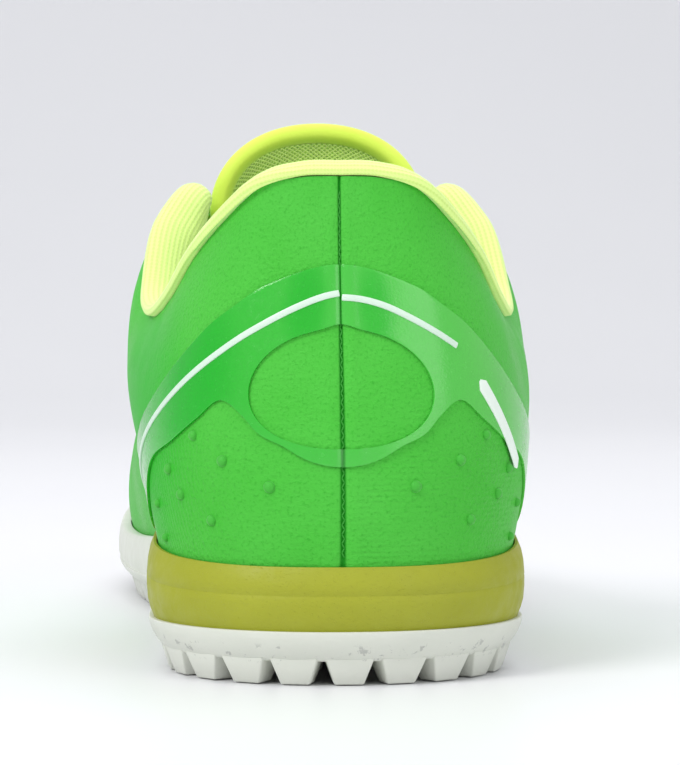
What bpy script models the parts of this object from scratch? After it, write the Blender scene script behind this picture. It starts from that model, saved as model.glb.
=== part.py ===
"""Right futsal shoe with a turf sole. Metres, +Z up, toe towards +Y, outer (lateral) side towards +X.

Every wall is worked out from one walk round the shoe: a "loop" value of 0 is the middle of the heel, 0 to 1 runs
along the outer side to the toe, and 1 to 2 comes back along the inner side.
"""
import math
from collections import namedtuple

import bmesh
import bpy
from mathutils import Matrix, Vector

# Driving sizes
SOLE_LENGTH = 0.290
HEEL_WIDTH = 0.0745
BALL_WIDTH = 0.0950
TOE_SPRING = 0.0095
COLLAR_HEIGHT = 0.0957
ANKLE_HEIGHT = 0.0693
INSTEP_HEIGHT = 0.0965
THROAT_HEIGHT = 0.0650
TOE_HEIGHT = 0.0470
TONGUE_HEIGHT = 0.1105

# Walls and clearances
GAP = 0.0003
UPPER_WALL = 0.0022
FILM_THICKNESS = 0.0005
EYESTAY_THICKNESS = 0.0009
TONGUE_THICKNESS = 0.0042
INSOLE_THICKNESS = 0.0038
COLLAR_PAD = 0.0052
COLLAR_ROLL = 0.0032
CUP_WALL = 0.0030
MIDSOLE_LIP = 0.0014
CUP_FULL = 0.5

# Sole levels above the floor
LUG_HEIGHT = 0.0045
LUG_ROOT = 0.0012
OUTSOLE_HEEL_TOP = 0.0103
OUTSOLE_FOREFOOT_TOP = 0.0084
FOOTBED_HEEL = 0.0178
FOOTBED_FOREFOOT = 0.0113
SIDE_HEEL_TOP = 0.0224
SIDE_QUARTER_TOP = 0.0262
SIDE_FOREFOOT_TOP = 0.0173
SIDE_TOE_TOP = 0.0205

# Eyelets and laces
EYELET_PAIRS = 6
EYELET_RADIUS = 0.0021
LACE_WIDTH = 0.0050
LACE_THICKNESS = 0.0012
LACE_SHIFT = 0.0068
LACE_LIFT = 0.0060

# Mesh fineness
COLUMNS = 32
WALL_ROWS = 7
ROUND_SIDES = 8

UP = Vector((0, 0, 1))

# The plan of the sole: centre line and half width by share of its length, before the ends are rounded
PlanRow = namedtuple("PlanRow", "along centre half")
PLAN = [
    PlanRow(0.00, 0.005 * BALL_WIDTH, 0.478 * HEEL_WIDTH),
    PlanRow(0.14, 0.012 * BALL_WIDTH, 0.500 * HEEL_WIDTH),
    PlanRow(0.26, 0.022 * BALL_WIDTH, 0.488 * HEEL_WIDTH),
    PlanRow(0.38, 0.042 * BALL_WIDTH, 0.382 * BALL_WIDTH),
    PlanRow(0.50, 0.056 * BALL_WIDTH, 0.430 * BALL_WIDTH),
    PlanRow(0.60, 0.056 * BALL_WIDTH, 0.484 * BALL_WIDTH),
    PlanRow(0.67, 0.048 * BALL_WIDTH, 0.500 * BALL_WIDTH),
    PlanRow(0.77, 0.026 * BALL_WIDTH, 0.494 * BALL_WIDTH),
    PlanRow(0.88, -0.020 * BALL_WIDTH, 0.462 * BALL_WIDTH),
    PlanRow(1.00, -0.075 * BALL_WIDTH, 0.405 * BALL_WIDTH),
]
HEEL_ROUND = 0.130
HEEL_ROUND_POWER = 2.15
TOE_ROUND = 0.285
TOE_ROUND_POWER = 2.15

# Levels along the sole, as heights above the floor before the toe springs up
LevelRow = namedtuple("LevelRow", "along side_top footbed outsole_top inset cup")
LEVELS = [
    LevelRow(0.00, SIDE_HEEL_TOP, FOOTBED_HEEL, OUTSOLE_HEEL_TOP, 0.0, 0.0),
    LevelRow(0.06, SIDE_HEEL_TOP + 0.2 * (SIDE_QUARTER_TOP - SIDE_HEEL_TOP),
             FOOTBED_HEEL, OUTSOLE_HEEL_TOP, 0.0, 0.0),
    LevelRow(0.16, SIDE_QUARTER_TOP - 0.1 * (SIDE_QUARTER_TOP - SIDE_HEEL_TOP),
             FOOTBED_HEEL, OUTSOLE_HEEL_TOP, 0.0, 0.0),
    LevelRow(0.26, SIDE_QUARTER_TOP, FOOTBED_HEEL, OUTSOLE_HEEL_TOP, 0.0, 0.0),
    LevelRow(0.33, SIDE_QUARTER_TOP - 0.2 * (SIDE_QUARTER_TOP - SIDE_FOREFOOT_TOP),
             0.95 * FOOTBED_HEEL, OUTSOLE_HEEL_TOP, 0.6, 0.0),
    LevelRow(0.40, SIDE_QUARTER_TOP - 0.5 * (SIDE_QUARTER_TOP - SIDE_FOREFOOT_TOP),
             0.87 * FOOTBED_HEEL, OUTSOLE_HEEL_TOP, 1.0, 0.35),
    LevelRow(0.47, SIDE_FOREFOOT_TOP + 0.2 * (SIDE_QUARTER_TOP - SIDE_FOREFOOT_TOP),
             FOOTBED_FOREFOOT + 0.2 * (FOOTBED_HEEL - FOOTBED_FOREFOOT),
             OUTSOLE_FOREFOOT_TOP + 0.3 * (OUTSOLE_HEEL_TOP - OUTSOLE_FOREFOOT_TOP), 1.0, 0.8),
    LevelRow(0.54, SIDE_FOREFOOT_TOP, FOOTBED_FOREFOOT, OUTSOLE_FOREFOOT_TOP, 1.0, 1.0),
    LevelRow(0.80, SIDE_FOREFOOT_TOP, FOOTBED_FOREFOOT, OUTSOLE_FOREFOOT_TOP, 1.0, 1.0),
    LevelRow(0.93, 0.4 * SIDE_FOREFOOT_TOP + 0.6 * SIDE_TOE_TOP, FOOTBED_FOREFOOT, OUTSOLE_FOREFOOT_TOP,
             1.0, 1.0),
    LevelRow(1.00, SIDE_TOE_TOP, FOOTBED_FOREFOOT, OUTSOLE_FOREFOOT_TOP, 1.0, 1.0),
]
SPRING_START = 0.70
SPRING_POWER = 1.9

# The side of the sole: how far each level is tucked in from the plan's outline
SideRow = namedtuple("SideRow", "rise tuck")
OUTSOLE_SIDE = [
    SideRow(0.00, 0.0034),
    SideRow(0.28, 0.0016),
    SideRow(0.62, 0.0007),
    SideRow(1.00, 0.0004),
]
CUP_SIDE = [
    SideRow(0.35, -0.0002),
    SideRow(0.75, 0.0002),
    SideRow(1.00, 0.0009),
]
MIDSOLE_SIDE = [
    SideRow(0.00, 0.0012),
    SideRow(0.14, 0.0002),
    SideRow(0.55, 0.0000),
    SideRow(0.88, 0.0003),
    SideRow(1.00, 0.0007),
]

# The upper, a row for each section from the middle of the heel (place 0) to the toe tip (place 1).
# top_y, top_half and top_z place the collar, the throat edge or, past the throat, the ridge of the vamp.
# low and high are how far the wall bellies out, tilt is how flat the wall arrives at the top, in degrees.
Section = namedtuple("Section", "place top_y top_half top_z low high reach tilt")
SECTIONS = [
    Section(0.000, 0.0250 * SOLE_LENGTH, 0.000 * HEEL_WIDTH, 1.000 * COLLAR_HEIGHT, 0.0050, 0.0005, 0.40, 88),
    Section(0.050, 0.0260 * SOLE_LENGTH, 0.100 * HEEL_WIDTH, 0.998 * COLLAR_HEIGHT, 0.0050, 0.0008, 0.40, 88),
    Section(0.100, 0.0345 * SOLE_LENGTH, 0.200 * HEEL_WIDTH, 0.978 * COLLAR_HEIGHT, 0.0046, 0.0018, 0.40, 86),
    Section(0.150, 0.0560 * SOLE_LENGTH, 0.290 * HEEL_WIDTH, 0.915 * COLLAR_HEIGHT, 0.0042, 0.0034, 0.40, 84),
    Section(0.200, 0.0960 * SOLE_LENGTH, 0.368 * HEEL_WIDTH, 1.165 * ANKLE_HEIGHT, 0.0040, 0.0048, 0.38, 82),
    Section(0.250, 0.1420 * SOLE_LENGTH, 0.430 * HEEL_WIDTH, 1.055 * ANKLE_HEIGHT, 0.0042, 0.0060, 0.36, 80),
    Section(0.300, 0.1960 * SOLE_LENGTH, 0.480 * HEEL_WIDTH, 1.000 * ANKLE_HEIGHT, 0.0040, 0.0066, 0.36, 78),
    Section(0.350, 0.2440 * SOLE_LENGTH, 0.497 * HEEL_WIDTH, 1.060 * ANKLE_HEIGHT, 0.0038, 0.0060, 0.36, 74),
    Section(0.400, 0.2850 * SOLE_LENGTH, 0.458 * HEEL_WIDTH, 0.915 * INSTEP_HEIGHT, 0.0050, 0.0060, 0.38, 66),
    Section(0.430, 0.3080 * SOLE_LENGTH, 0.395 * HEEL_WIDTH, 0.990 * INSTEP_HEIGHT, 0.0050, 0.0060, 0.40, 58),
    Section(0.460, 0.3360 * SOLE_LENGTH, 0.345 * HEEL_WIDTH, 0.965 * INSTEP_HEIGHT, 0.0050, 0.0055, 0.42, 47),
    Section(0.500, 0.3820 * SOLE_LENGTH, 0.265 * HEEL_WIDTH, 0.912 * INSTEP_HEIGHT, 0.0050, 0.0050, 0.44, 37),
    Section(0.550, 0.4520 * SOLE_LENGTH, 0.190 * HEEL_WIDTH, 0.808 * INSTEP_HEIGHT, 0.0050, 0.0040, 0.46, 28),
    Section(0.600, 0.5260 * SOLE_LENGTH, 0.150 * HEEL_WIDTH, 1.105 * THROAT_HEIGHT, 0.0050, 0.0030, 0.48, 20),
    Section(0.632, 0.5680 * SOLE_LENGTH, 0.112 * HEEL_WIDTH, 1.030 * THROAT_HEIGHT, 0.0050, 0.0020, 0.48, 10),
    Section(0.655, 0.5830 * SOLE_LENGTH, 0.000 * HEEL_WIDTH, 1.000 * THROAT_HEIGHT, 0.0048, 0.0000, 0.48, 0),
    Section(0.700, 0.6300 * SOLE_LENGTH, 0.000 * HEEL_WIDTH, 0.922 * THROAT_HEIGHT, 0.0046, 0.0000, 0.50, 0),
    Section(0.800, 0.7380 * SOLE_LENGTH, 0.000 * HEEL_WIDTH, 1.150 * TOE_HEIGHT, 0.0040, 0.0000, 0.54, 0),
    Section(0.900, 0.8200 * SOLE_LENGTH, 0.000 * HEEL_WIDTH, 1.045 * TOE_HEIGHT, 0.0034, 0.0000, 0.56, 0),
    Section(1.000, 0.8520 * SOLE_LENGTH, 0.000 * HEEL_WIDTH, 1.000 * TOE_HEIGHT, 0.0030, 0.0000, 0.56, 0),
]
THROAT_END = 0.655
COLLAR_END = 0.4375
EYESTAY_START = 0.430
EYESTAY_SHARE = 0.30
EYESTAY_FRONT = 0.600

# The ridge that the vamp's two halves meet on swings towards the big toe
RidgeRow = namedtuple("RidgeRow", "along shift")
RIDGE = [
    RidgeRow(0.00, 0.000 * BALL_WIDTH),
    RidgeRow(0.20, 0.010 * BALL_WIDTH),
    RidgeRow(0.40, 0.000 * BALL_WIDTH),
    RidgeRow(0.60, -0.025 * BALL_WIDTH),
    RidgeRow(0.80, -0.048 * BALL_WIDTH),
    RidgeRow(1.00, -0.075 * BALL_WIDTH),
]

# The tongue's middle line, from under the vamp to its top
TongueRow = namedtuple("TongueRow", "share y z half sag")
TONGUE = [
    TongueRow(0.00, 0.650 * SOLE_LENGTH, 0.850 * THROAT_HEIGHT, 0.215 * HEEL_WIDTH, 0.0050),
    TongueRow(0.15, 0.575 * SOLE_LENGTH, 0.958 * THROAT_HEIGHT, 0.230 * HEEL_WIDTH, 0.0070),
    TongueRow(0.35, 0.490 * SOLE_LENGTH, 0.745 * INSTEP_HEIGHT, 0.240 * HEEL_WIDTH, 0.0090),
    TongueRow(0.60, 0.405 * SOLE_LENGTH, 0.864 * INSTEP_HEIGHT, 0.250 * HEEL_WIDTH, 0.0115),
    TongueRow(0.80, 0.366 * SOLE_LENGTH, 0.855 * TONGUE_HEIGHT, 0.252 * HEEL_WIDTH, 0.0125),
    TongueRow(1.00, 0.344 * SOLE_LENGTH, 1.000 * TONGUE_HEIGHT, 0.318 * HEEL_WIDTH, 0.0130),
]
TONGUE_LEAN = math.radians(74)
TONGUE_CORNER = 0.08

# The film round the heel, seen from behind: its outline by share of the heel's width and of the collar's height
FilmRow = namedtuple("FilmRow", "out low high")
FILM = [
    FilmRow(0.00, 0.430, 0.826),
    FilmRow(0.09, 0.446, 0.820),
    FilmRow(0.18, 0.486, 0.800),
    FilmRow(0.25, 0.530, 0.768),
    FilmRow(0.33, 0.556, 0.722),
    FilmRow(0.39, 0.520, 0.668),
    FilmRow(0.44, 0.470, 0.610),
]
WINDOW_HALF = 0.225 * HEEL_WIDTH
WINDOW_TALL = 0.117 * COLLAR_HEIGHT
WINDOW_MIDDLE = 0.580 * COLLAR_HEIGHT

# Lugs: rows across the sole, each a taper from root to tip
LugRow = namedtuple("LugRow", "along count turn")
INNER_LUGS = [
    LugRow(0.110, 4, 0.0),
    LugRow(0.180, 5, 0.0),
    LugRow(0.250, 4, 0.0),
    LugRow(0.530, 5, 0.1),
    LugRow(0.595, 6, 0.1),
    LugRow(0.660, 7, 0.1),
    LugRow(0.725, 6, 0.05),
    LugRow(0.790, 6, 0.0),
    LugRow(0.855, 5, 0.0),
    LugRow(0.915, 3, 0.0),
]
RIM_LUG_PITCH = 0.0094
RIM_LUG_LENGTH = 0.0082
RIM_LUG_DEPTH = 0.0078
RIM_LUG_PINCH = 0.74
INNER_LUG_SIZE = 0.0076
LUG_SPACE = 0.0098
LUG_TIP = 0.63
ARCH_START = 0.34
ARCH_END = 0.47
ARCH_BAR_COUNT = 3


def slopes(places, values, odd_start, odd_end):
    """Slopes of a smooth curve through the rows. An odd end runs straight on, an even one levels out."""
    steps = [b - a for a, b in zip(places, places[1:])]
    rises = [(b - a) / s for a, b, s in zip(values, values[1:], steps)]
    inner = [
        (rises[i - 1] * steps[i] + rises[i] * steps[i - 1]) / (steps[i] + steps[i - 1])
        for i in range(1, len(rises))
    ]
    return [rises[0] if odd_start else 0.0, *inner, rises[-1] if odd_end else 0.0]


class Table:
    """Named columns over a place, read from smooth curves through short rows."""

    def __init__(self, rows, odd_start=(), odd_end=()):
        names = rows[0]._fields
        self.places = [row[0] for row in rows]
        self.columns = {}
        for name in names[1:]:
            values = [getattr(row, name) for row in rows]
            self.columns[name] = (
                values,
                slopes(self.places, values, name in odd_start, name in odd_end),
            )

    def read(self, name, place):
        place = min(max(place, self.places[0]), self.places[-1])
        values, slope = self.columns[name]
        last = len(self.places) - 2
        i = min(last, next((k for k in range(last + 1) if place <= self.places[k + 1]), last))
        span = self.places[i + 1] - self.places[i]
        t = (place - self.places[i]) / span
        return (
            values[i] * (1 + 2 * t) * (1 - t) ** 2
            + slope[i] * span * t * (1 - t) ** 2
            + values[i + 1] * t * t * (3 - 2 * t)
            - slope[i + 1] * span * t * t * (1 - t)
        )


plan_table = Table(PLAN, odd_start=("centre", "half"), odd_end=("centre", "half"))
level_table = Table(LEVELS)
section_table = Table(SECTIONS, odd_start=("top_half",))
ridge_table = Table(RIDGE, odd_end=("shift",))
tongue_table = Table(TONGUE, odd_start=("y", "z"), odd_end=("y", "z"))
film_table = Table(FILM, odd_end=("low", "high"))


def smoothstep(low, high, value):
    t = min(max((value - low) / (high - low), 0.0), 1.0)
    return t * t * (3 - 2 * t)


def side_and_place(loop):
    """(+1 outer or -1 inner side, place from heel 0 to toe 1) of a loop value."""
    loop = loop % 2.0
    return (1, loop) if loop <= 1.0 else (-1, 2.0 - loop)


def end_rounding(along):
    """Share of the half width that is left as the plan closes at the heel and at the toe."""
    rounded = 1.0
    if along < HEEL_ROUND:
        rounded = (1 - (1 - along / HEEL_ROUND) ** HEEL_ROUND_POWER) ** (1 / HEEL_ROUND_POWER)
    if along > 1 - TOE_ROUND:
        reach = min(1.0, (along - (1 - TOE_ROUND)) / TOE_ROUND)
        rounded = (1 - reach**TOE_ROUND_POWER) ** (1 / TOE_ROUND_POWER)
    return rounded


def along_of(place):
    """Share of the sole's length at a place: columns crowd towards the round ends."""
    return (1 - math.cos(math.pi * place)) / 2


def outline(loop, inset=0.0):
    """Point of the sole's widest line in plan, moved in by inset."""
    def on_line(at):
        side, place = side_and_place(at)
        along = along_of(place)
        half = plan_table.read("half", along) * end_rounding(along)
        return Vector((plan_table.read("centre", along) + side * half, SOLE_LENGTH * along, 0))

    here = on_line(loop)
    return here - outward(on_line, loop) * inset if inset else here


def outward(on_line, loop, step=0.004):
    """Level direction that points out of a closed plan line at a loop value."""
    tangent = on_line(loop + step) - on_line(loop - step)
    return Vector((tangent.y, -tangent.x, 0)).normalized()


def out_of_sole(loop):
    return outward(outline, loop)


def spring(along):
    """How far the sole is lifted off the floor as the toe springs up."""
    rise = max(0.0, (along - SPRING_START) / (1 - SPRING_START))
    return TOE_SPRING * rise**SPRING_POWER


def level(name, loop):
    """Height above the floor of a level of the sole at a loop value, with the toe's spring."""
    along = along_of(side_and_place(loop)[1])
    return level_table.read(name, along) + spring(along)


def share(name, loop):
    """A plain share from the levels table at a loop value."""
    return min(1.0, max(0.0, level_table.read(name, along_of(side_and_place(loop)[1]))))


def upper_inset(loop):
    """How far inside the sole's outline the upper's outer face stands."""
    in_heel = GAP + MIDSOLE_LIP + GAP
    in_forefoot = CUP_WALL + GAP
    return in_heel + (in_forefoot - in_heel) * share("inset", loop)


def top_point(place, side):
    """Point of the collar, throat edge or vamp ridge."""
    y = section_table.read("top_y", place)
    half = section_table.read("top_half", place) if place < THROAT_END else 0.0
    shift = ridge_table.read("shift", y / SOLE_LENGTH)
    return Vector((shift + side * half, y, section_table.read("top_z", place)))


def ridge_fall(place):
    """Slope of the instep and vamp along the shoe at a place."""
    middle = min(max(place, 0.50), 0.965)
    ahead, behind = top_point(middle + 0.02, 1), top_point(middle - 0.02, 1)
    return (ahead.z - behind.z) / (ahead.y - behind.y)


def wall_curve(loop):
    """The four handles of the upper's section at a loop value, above the sole."""
    side, place = side_and_place(loop)
    out = out_of_sole(loop)
    foot = outline(loop, upper_inset(loop))
    foot.z = level("side_top", loop)
    top = top_point(place, side)
    height = top.z - foot.z
    spread = Vector((foot.x - top.x, foot.y - top.y, 0))
    tilt = math.radians(section_table.read("tilt", place))
    flat = spread.normalized() if spread.length > 1e-6 else out
    flat = (flat * math.cos(tilt) + out * math.sin(tilt)).normalized()
    fall = ridge_fall(place) * flat.y * math.cos(tilt)
    arrive = (flat * math.cos(tilt) + UP * fall - UP * math.sin(tilt)).normalized()
    span = (top - foot).length
    low = foot + out * section_table.read("low", place) + UP * 0.36 * height
    high = top + arrive * span * section_table.read("reach", place) + out * section_table.read("high", place)
    return foot, low, high, top


def wall_point(loop, rise):
    """Point of the upper's outer face: rise 0 to 1 runs from the sole's top line to the collar or ridge."""
    foot, low, high, top = wall_curve(loop)
    t, s = rise, 1 - rise
    return foot * s**3 + low * 3 * s * s * t + high * 3 * s * t * t + top * t**3


def wall_normal(loop, rise):
    """Direction out of the upper at a point of its outer face."""
    step = 0.003
    around = wall_point(loop + step, rise) - wall_point(loop - step, rise)
    up = wall_point(loop, min(1.0, rise + step)) - wall_point(loop, max(0.0, rise - step))
    return around.cross(up).normalized()


def wall_up(loop, rise):
    """Direction up the upper's section."""
    step = 0.003
    return (wall_point(loop, min(1.0, rise + step)) - wall_point(loop, max(0.0, rise - step))).normalized()


def material(name, colour, roughness):
    made = bpy.data.materials.new(name)
    made.use_nodes = True
    shader = made.node_tree.nodes["Principled BSDF"]
    shader.inputs["Base Color"].default_value = (*colour, 1)
    shader.inputs["Roughness"].default_value = roughness
    shader.inputs["Metallic"].default_value = 0.0
    return made


def object_from(name, mesh, finish):
    """A mesh made one closed, outward-facing object, with doubled points merged."""
    bmesh.ops.remove_doubles(mesh, verts=mesh.verts, dist=1e-6)
    bmesh.ops.dissolve_degenerate(mesh, edges=mesh.edges, dist=1e-6)
    bmesh.ops.recalc_face_normals(mesh, faces=mesh.faces)
    if mesh.calc_volume(signed=True) < 0:
        bmesh.ops.reverse_faces(mesh, faces=mesh.faces)
    data = bpy.data.meshes.new(name)
    mesh.to_mesh(data)
    mesh.free()
    made = bpy.data.objects.new(name, data)
    bpy.context.scene.collection.objects.link(made)
    if finish:
        data.materials.append(finish)
    data.shade_smooth()
    data.set_sharp_from_angle(angle=math.radians(35))
    return made


def skin(mesh, rings, closed_ring, close_ends, sheet=False):
    """Triangles between rings of points. Rings may close on themselves, and the first and last may be joined.

    A sheet's rings run up one face and down the other. Its two faces are split along the same diagonals, so that
    sheets lying on one another stay apart where they are twisted.
    """
    grid = [[mesh.verts.new(point) for point in ring] for ring in rings]
    pairs = list(zip(grid, grid[1:]))
    if close_ends:
        pairs.append((grid[-1], grid[0]))
    for first, second in pairs:
        count = len(first)
        for i in range(count if closed_ring else count - 1):
            j = (i + 1) % count
            if sheet and i >= count // 2:
                mesh.faces.new((first[i], first[j], second[i]))
                mesh.faces.new((first[j], second[j], second[i]))
            else:
                mesh.faces.new((first[i], first[j], second[j]))
                mesh.faces.new((first[i], second[j], second[i]))
    return grid


def close_end(mesh, ring):
    """Closes the end of a sheet whose ring runs up one face and down the other, with a strip between the two."""
    last = len(ring) - 1
    for i in range(len(ring) // 2 - 1):
        mesh.faces.new((ring[i], ring[i + 1], ring[last - i - 1], ring[last - i]))


def loops_round():
    """Loop values of the columns, from the middle of the heel all the way round."""
    return [k / COLUMNS for k in range(2 * COLUMNS)]


def cap(mesh, ring):
    """Closes a ring that goes round the shoe with strips from side to side."""
    count = len(ring)
    half = count // 2
    mesh.faces.new((ring[0], ring[1], ring[count - 1]))
    for i in range(1, half - 1):
        mesh.faces.new((ring[i], ring[i + 1], ring[count - i - 1], ring[count - i]))
    mesh.faces.new((ring[half - 1], ring[half], ring[half + 1]))


def stacked(name, columns, finish):
    """A closed solid of stacked rings round the shoe: columns is a list, for each loop value, of its points."""
    mesh = bmesh.new()
    rings = [[column[i] for column in columns] for i in range(len(columns[0]))]
    grid = skin(mesh, rings, closed_ring=True, close_ends=False)
    cap(mesh, grid[0])
    cap(mesh, grid[-1])
    return object_from(name, mesh, finish)


def cup_height(loop):
    """Height of the outsole's wall above the outsole's top edge."""
    full = level("side_top", loop) - level("outsole_top", loop)
    rise = smoothstep(0.04, CUP_FULL, share("cup", loop))
    return 0.1 * full + 0.9 * full * rise if rise > 0 else 0.0


def cup_inset(loop):
    """How far in the cup's inner face stands. Where there is no cup it is the outsole's own edge."""
    if cup_height(loop) < 1e-5:
        return OUTSOLE_SIDE[-1].tuck
    thinnest = 0.3 * CUP_WALL
    return thinnest + (CUP_WALL - thinnest) * share("cup", loop)


def outsole_column(loop):
    """Points from the outsole's bottom edge up its side, over the cup's wall and down to its floor."""
    along = along_of(side_and_place(loop)[1])
    bottom = LUG_HEIGHT + spring(along)
    floor = level("outsole_top", loop)
    tall = cup_height(loop)
    points = []
    for row in OUTSOLE_SIDE:
        point = outline(loop, row.tuck)
        point.z = bottom + (floor - bottom) * row.rise
        points.append(point)
    edge = OUTSOLE_SIDE[-1].tuck
    for row in CUP_SIDE:
        point = outline(loop, edge + share("cup", loop) * (row.tuck - edge))
        point.z = floor + tall * row.rise
        points.append(point)
    inner = outline(loop, cup_inset(loop))
    points.append(Vector((inner.x, inner.y, floor + tall)))
    points.append(Vector((inner.x, inner.y, floor)))
    return points


def lug(mesh, centre, across, ahead, width, depth, base, turn=0.0, pinch=1.0):
    """A tapered lug: a frustum that reaches from inside the outsole down to its tip. Its back may be pinched."""
    spin = Matrix.Rotation(turn, 3, "Z")
    across, ahead = spin @ across, spin @ ahead
    rings = []
    for size, z in ((1.0, base + LUG_HEIGHT + LUG_ROOT), (1.0, base + LUG_HEIGHT - 0.0003), (LUG_TIP, base)):
        corners = []
        for sign_x, sign_y in ((1, 1), (-1, 1), (-1, -1), (1, -1)):
            wide = width / 2 * size * (pinch if sign_y < 0 else 1.0)
            point = centre + across * sign_x * wide + ahead * sign_y * depth / 2 * size
            corners.append(Vector((point.x, point.y, z)))
        rings.append(corners)
    grid = skin(mesh, rings, closed_ring=True, close_ends=False)
    mesh.faces.new(grid[0])
    mesh.faces.new(grid[-1])


def rim_lugs(mesh):
    """Lugs that follow the edge of the sole, evenly spaced, left out along the arch."""
    samples = [outline(k / 400, OUTSOLE_SIDE[0].tuck + RIM_LUG_DEPTH / 2) for k in range(801)]
    lengths = [0.0]
    for a, b in zip(samples, samples[1:]):
        lengths.append(lengths[-1] + (b - a).length)
    count = round(lengths[-1] / RIM_LUG_PITCH)
    centres = []
    for n in range(count):
        want = lengths[-1] * (n + 0.1) / count
        k = next(i for i in range(len(lengths)) if lengths[i] >= want)
        loop = k / 400
        along = along_of(side_and_place(loop)[1])
        if ARCH_START < along < ARCH_END:
            continue
        out = out_of_sole(loop)
        lug(mesh, samples[k], Vector((-out.y, out.x, 0)), out, RIM_LUG_LENGTH, RIM_LUG_DEPTH, spring(along),
            pinch=RIM_LUG_PINCH)
        centres.append(samples[k])
    return centres


def row_span(along, inset):
    """Inner and outer ends of a row across the sole."""
    half = plan_table.read("half", along) * end_rounding(along) - inset
    centre = plan_table.read("centre", along)
    return centre - half, centre + half


def inner_lugs(mesh, taken):
    """Lugs in rows across the forefoot and the heel, left out where one would touch a lug of the edge."""
    clear = OUTSOLE_SIDE[0].tuck + RIM_LUG_DEPTH + 0.0030
    for row in INNER_LUGS:
        low, high = row_span(row.along, clear)
        size = min(INNER_LUG_SIZE, (high - low) / row.count - 0.0022)
        for n in range(row.count):
            x = low + (high - low) * (n + 0.5) / row.count
            centre = Vector((x, row.along * SOLE_LENGTH, 0))
            if min((centre - other).length for other in taken) < LUG_SPACE:
                continue
            lug(mesh, centre, Vector((1, 0, 0)), Vector((0, 1, 0)), size, size, spring(row.along), row.turn)


def arch_bars(mesh):
    """Low ribs along the arch, short of the floor."""
    for n in range(ARCH_BAR_COUNT):
        along = ARCH_START + (ARCH_END - ARCH_START) * (n + 0.5) / ARCH_BAR_COUNT
        low, high = row_span(along, 0.010)
        centre = Vector(((low + high) / 2, along * SOLE_LENGTH, 0))
        lug(mesh, centre, Vector((1, 0, 0)), Vector((0, 1, 0)), high - low, 0.0052, 0.45 * LUG_HEIGHT)


def boolean(target, cutter, operation):
    """Applies a Boolean to target and removes the cutter."""
    change = target.modifiers.new(operation.lower(), "BOOLEAN")
    change.operation = operation
    change.object = cutter
    change.solver = "EXACT"
    graph = bpy.context.evaluated_depsgraph_get()
    made = bpy.data.meshes.new_from_object(target.evaluated_get(graph))
    target.modifiers.clear()
    target.data = made
    bpy.data.objects.remove(cutter)


def make_outsole(finish):
    made = stacked("outsole", [outsole_column(loop) for loop in loops_round()], finish)
    lugs = bmesh.new()
    inner_lugs(lugs, rim_lugs(lugs))
    arch_bars(lugs)
    boolean(made, object_from("lugs", lugs, None), "UNION")
    return made


def lip_thickness(loop):
    """Thickness of the midsole's lip, which fills from its own outer face to the upper."""
    return upper_inset(loop) - GAP - midsole_inset(loop)


def midsole_inset(loop):
    return GAP + (cup_inset(loop) if cup_height(loop) > 1e-5 else 0.0)


def lip_standing(loop):
    """1 where the midsole's lip stands, 0 where the outsole's wall has taken over."""
    return 1.0 if share("cup", loop) < CUP_FULL else 0.0


def midsole_column(loop):
    """Points from the midsole's bottom edge up its side, over its lip and down to the footbed."""
    bottom = level("outsole_top", loop) + GAP
    bed = level("footbed", loop)
    tall = (level("side_top", loop) - bed) * lip_standing(loop)
    inset = midsole_inset(loop)
    bulge = 1 - share("cup", loop)
    lip = max(lip_thickness(loop), GAP)
    points = []
    for row in MIDSOLE_SIDE:
        point = outline(loop, inset + min(row.tuck * bulge, 0.4 * lip))
        point.z = bottom + (bed + tall - bottom) * row.rise
        points.append(point)
    inner = outline(loop, inset + lip)
    points.append(Vector((inner.x, inner.y, bed + tall)))
    points.append(Vector((inner.x, inner.y, bed)))
    return points


def make_midsole(finish):
    return stacked("midsole", [midsole_column(loop) for loop in loops_round()], finish)


def insole_column(loop):
    """Points up the edge of the insole, which lies inside the upper's wall."""
    bed = level("footbed", loop) + GAP
    inset = upper_inset(loop) + UPPER_WALL + GAP
    points = []
    for tuck, z in ((0.0006, bed), (0.0, bed + 0.5 * INSOLE_THICKNESS), (0.0014, bed + INSOLE_THICKNESS),
                    (0.0060, bed + 0.82 * INSOLE_THICKNESS)):
        point = outline(loop, inset + tuck)
        point.z = z
        points.append(point)
    return points


def make_insole(finish):
    return stacked("insole", [insole_column(loop) for loop in loops_round()], finish)


def upper_column(loop):
    """Points of the upper's outer face, from its hidden edge in the sole to its top, and the way out at each."""
    _, place = side_and_place(loop)
    out = out_of_sole(loop)
    foot = outline(loop, upper_inset(loop))
    sunk = Vector((foot.x, foot.y, level("footbed", loop) + GAP))
    points, outs = [sunk], [out]
    for row in range(WALL_ROWS + 1):
        rise = row / WALL_ROWS
        points.append(wall_point(loop, rise))
        ridge = place >= THROAT_END and row == WALL_ROWS
        outs.append(ridge_normal(place) if ridge else wall_normal(loop, rise))
    outs[1] = (2 * out + outs[1]).normalized()
    return points, outs


def ridge_normal(place):
    return Vector((0, -ridge_fall(place), 1)).normalized()


def shell(name, loops, first_row, low, high, finish, closed_round):
    """A sheet that follows the upper between two offsets from its outer face, as one closed solid."""
    mesh = bmesh.new()
    rings = []
    for loop in loops:
        points, outs = upper_column(loop)
        points, outs = points[first_row:], outs[first_row:]
        outer = [p + o * high for p, o in zip(points, outs)]
        inner = [p + o * low for p, o in zip(points, outs)]
        rings.append(outer + inner[::-1])
    grid = skin(mesh, rings, closed_ring=True, close_ends=closed_round, sheet=True)
    if not closed_round:
        close_end(mesh, grid[0])
        close_end(mesh, grid[-1])
    remove_ridge_walls(mesh, loops, grid, closed_round)
    return object_from(name, mesh, finish)


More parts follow.
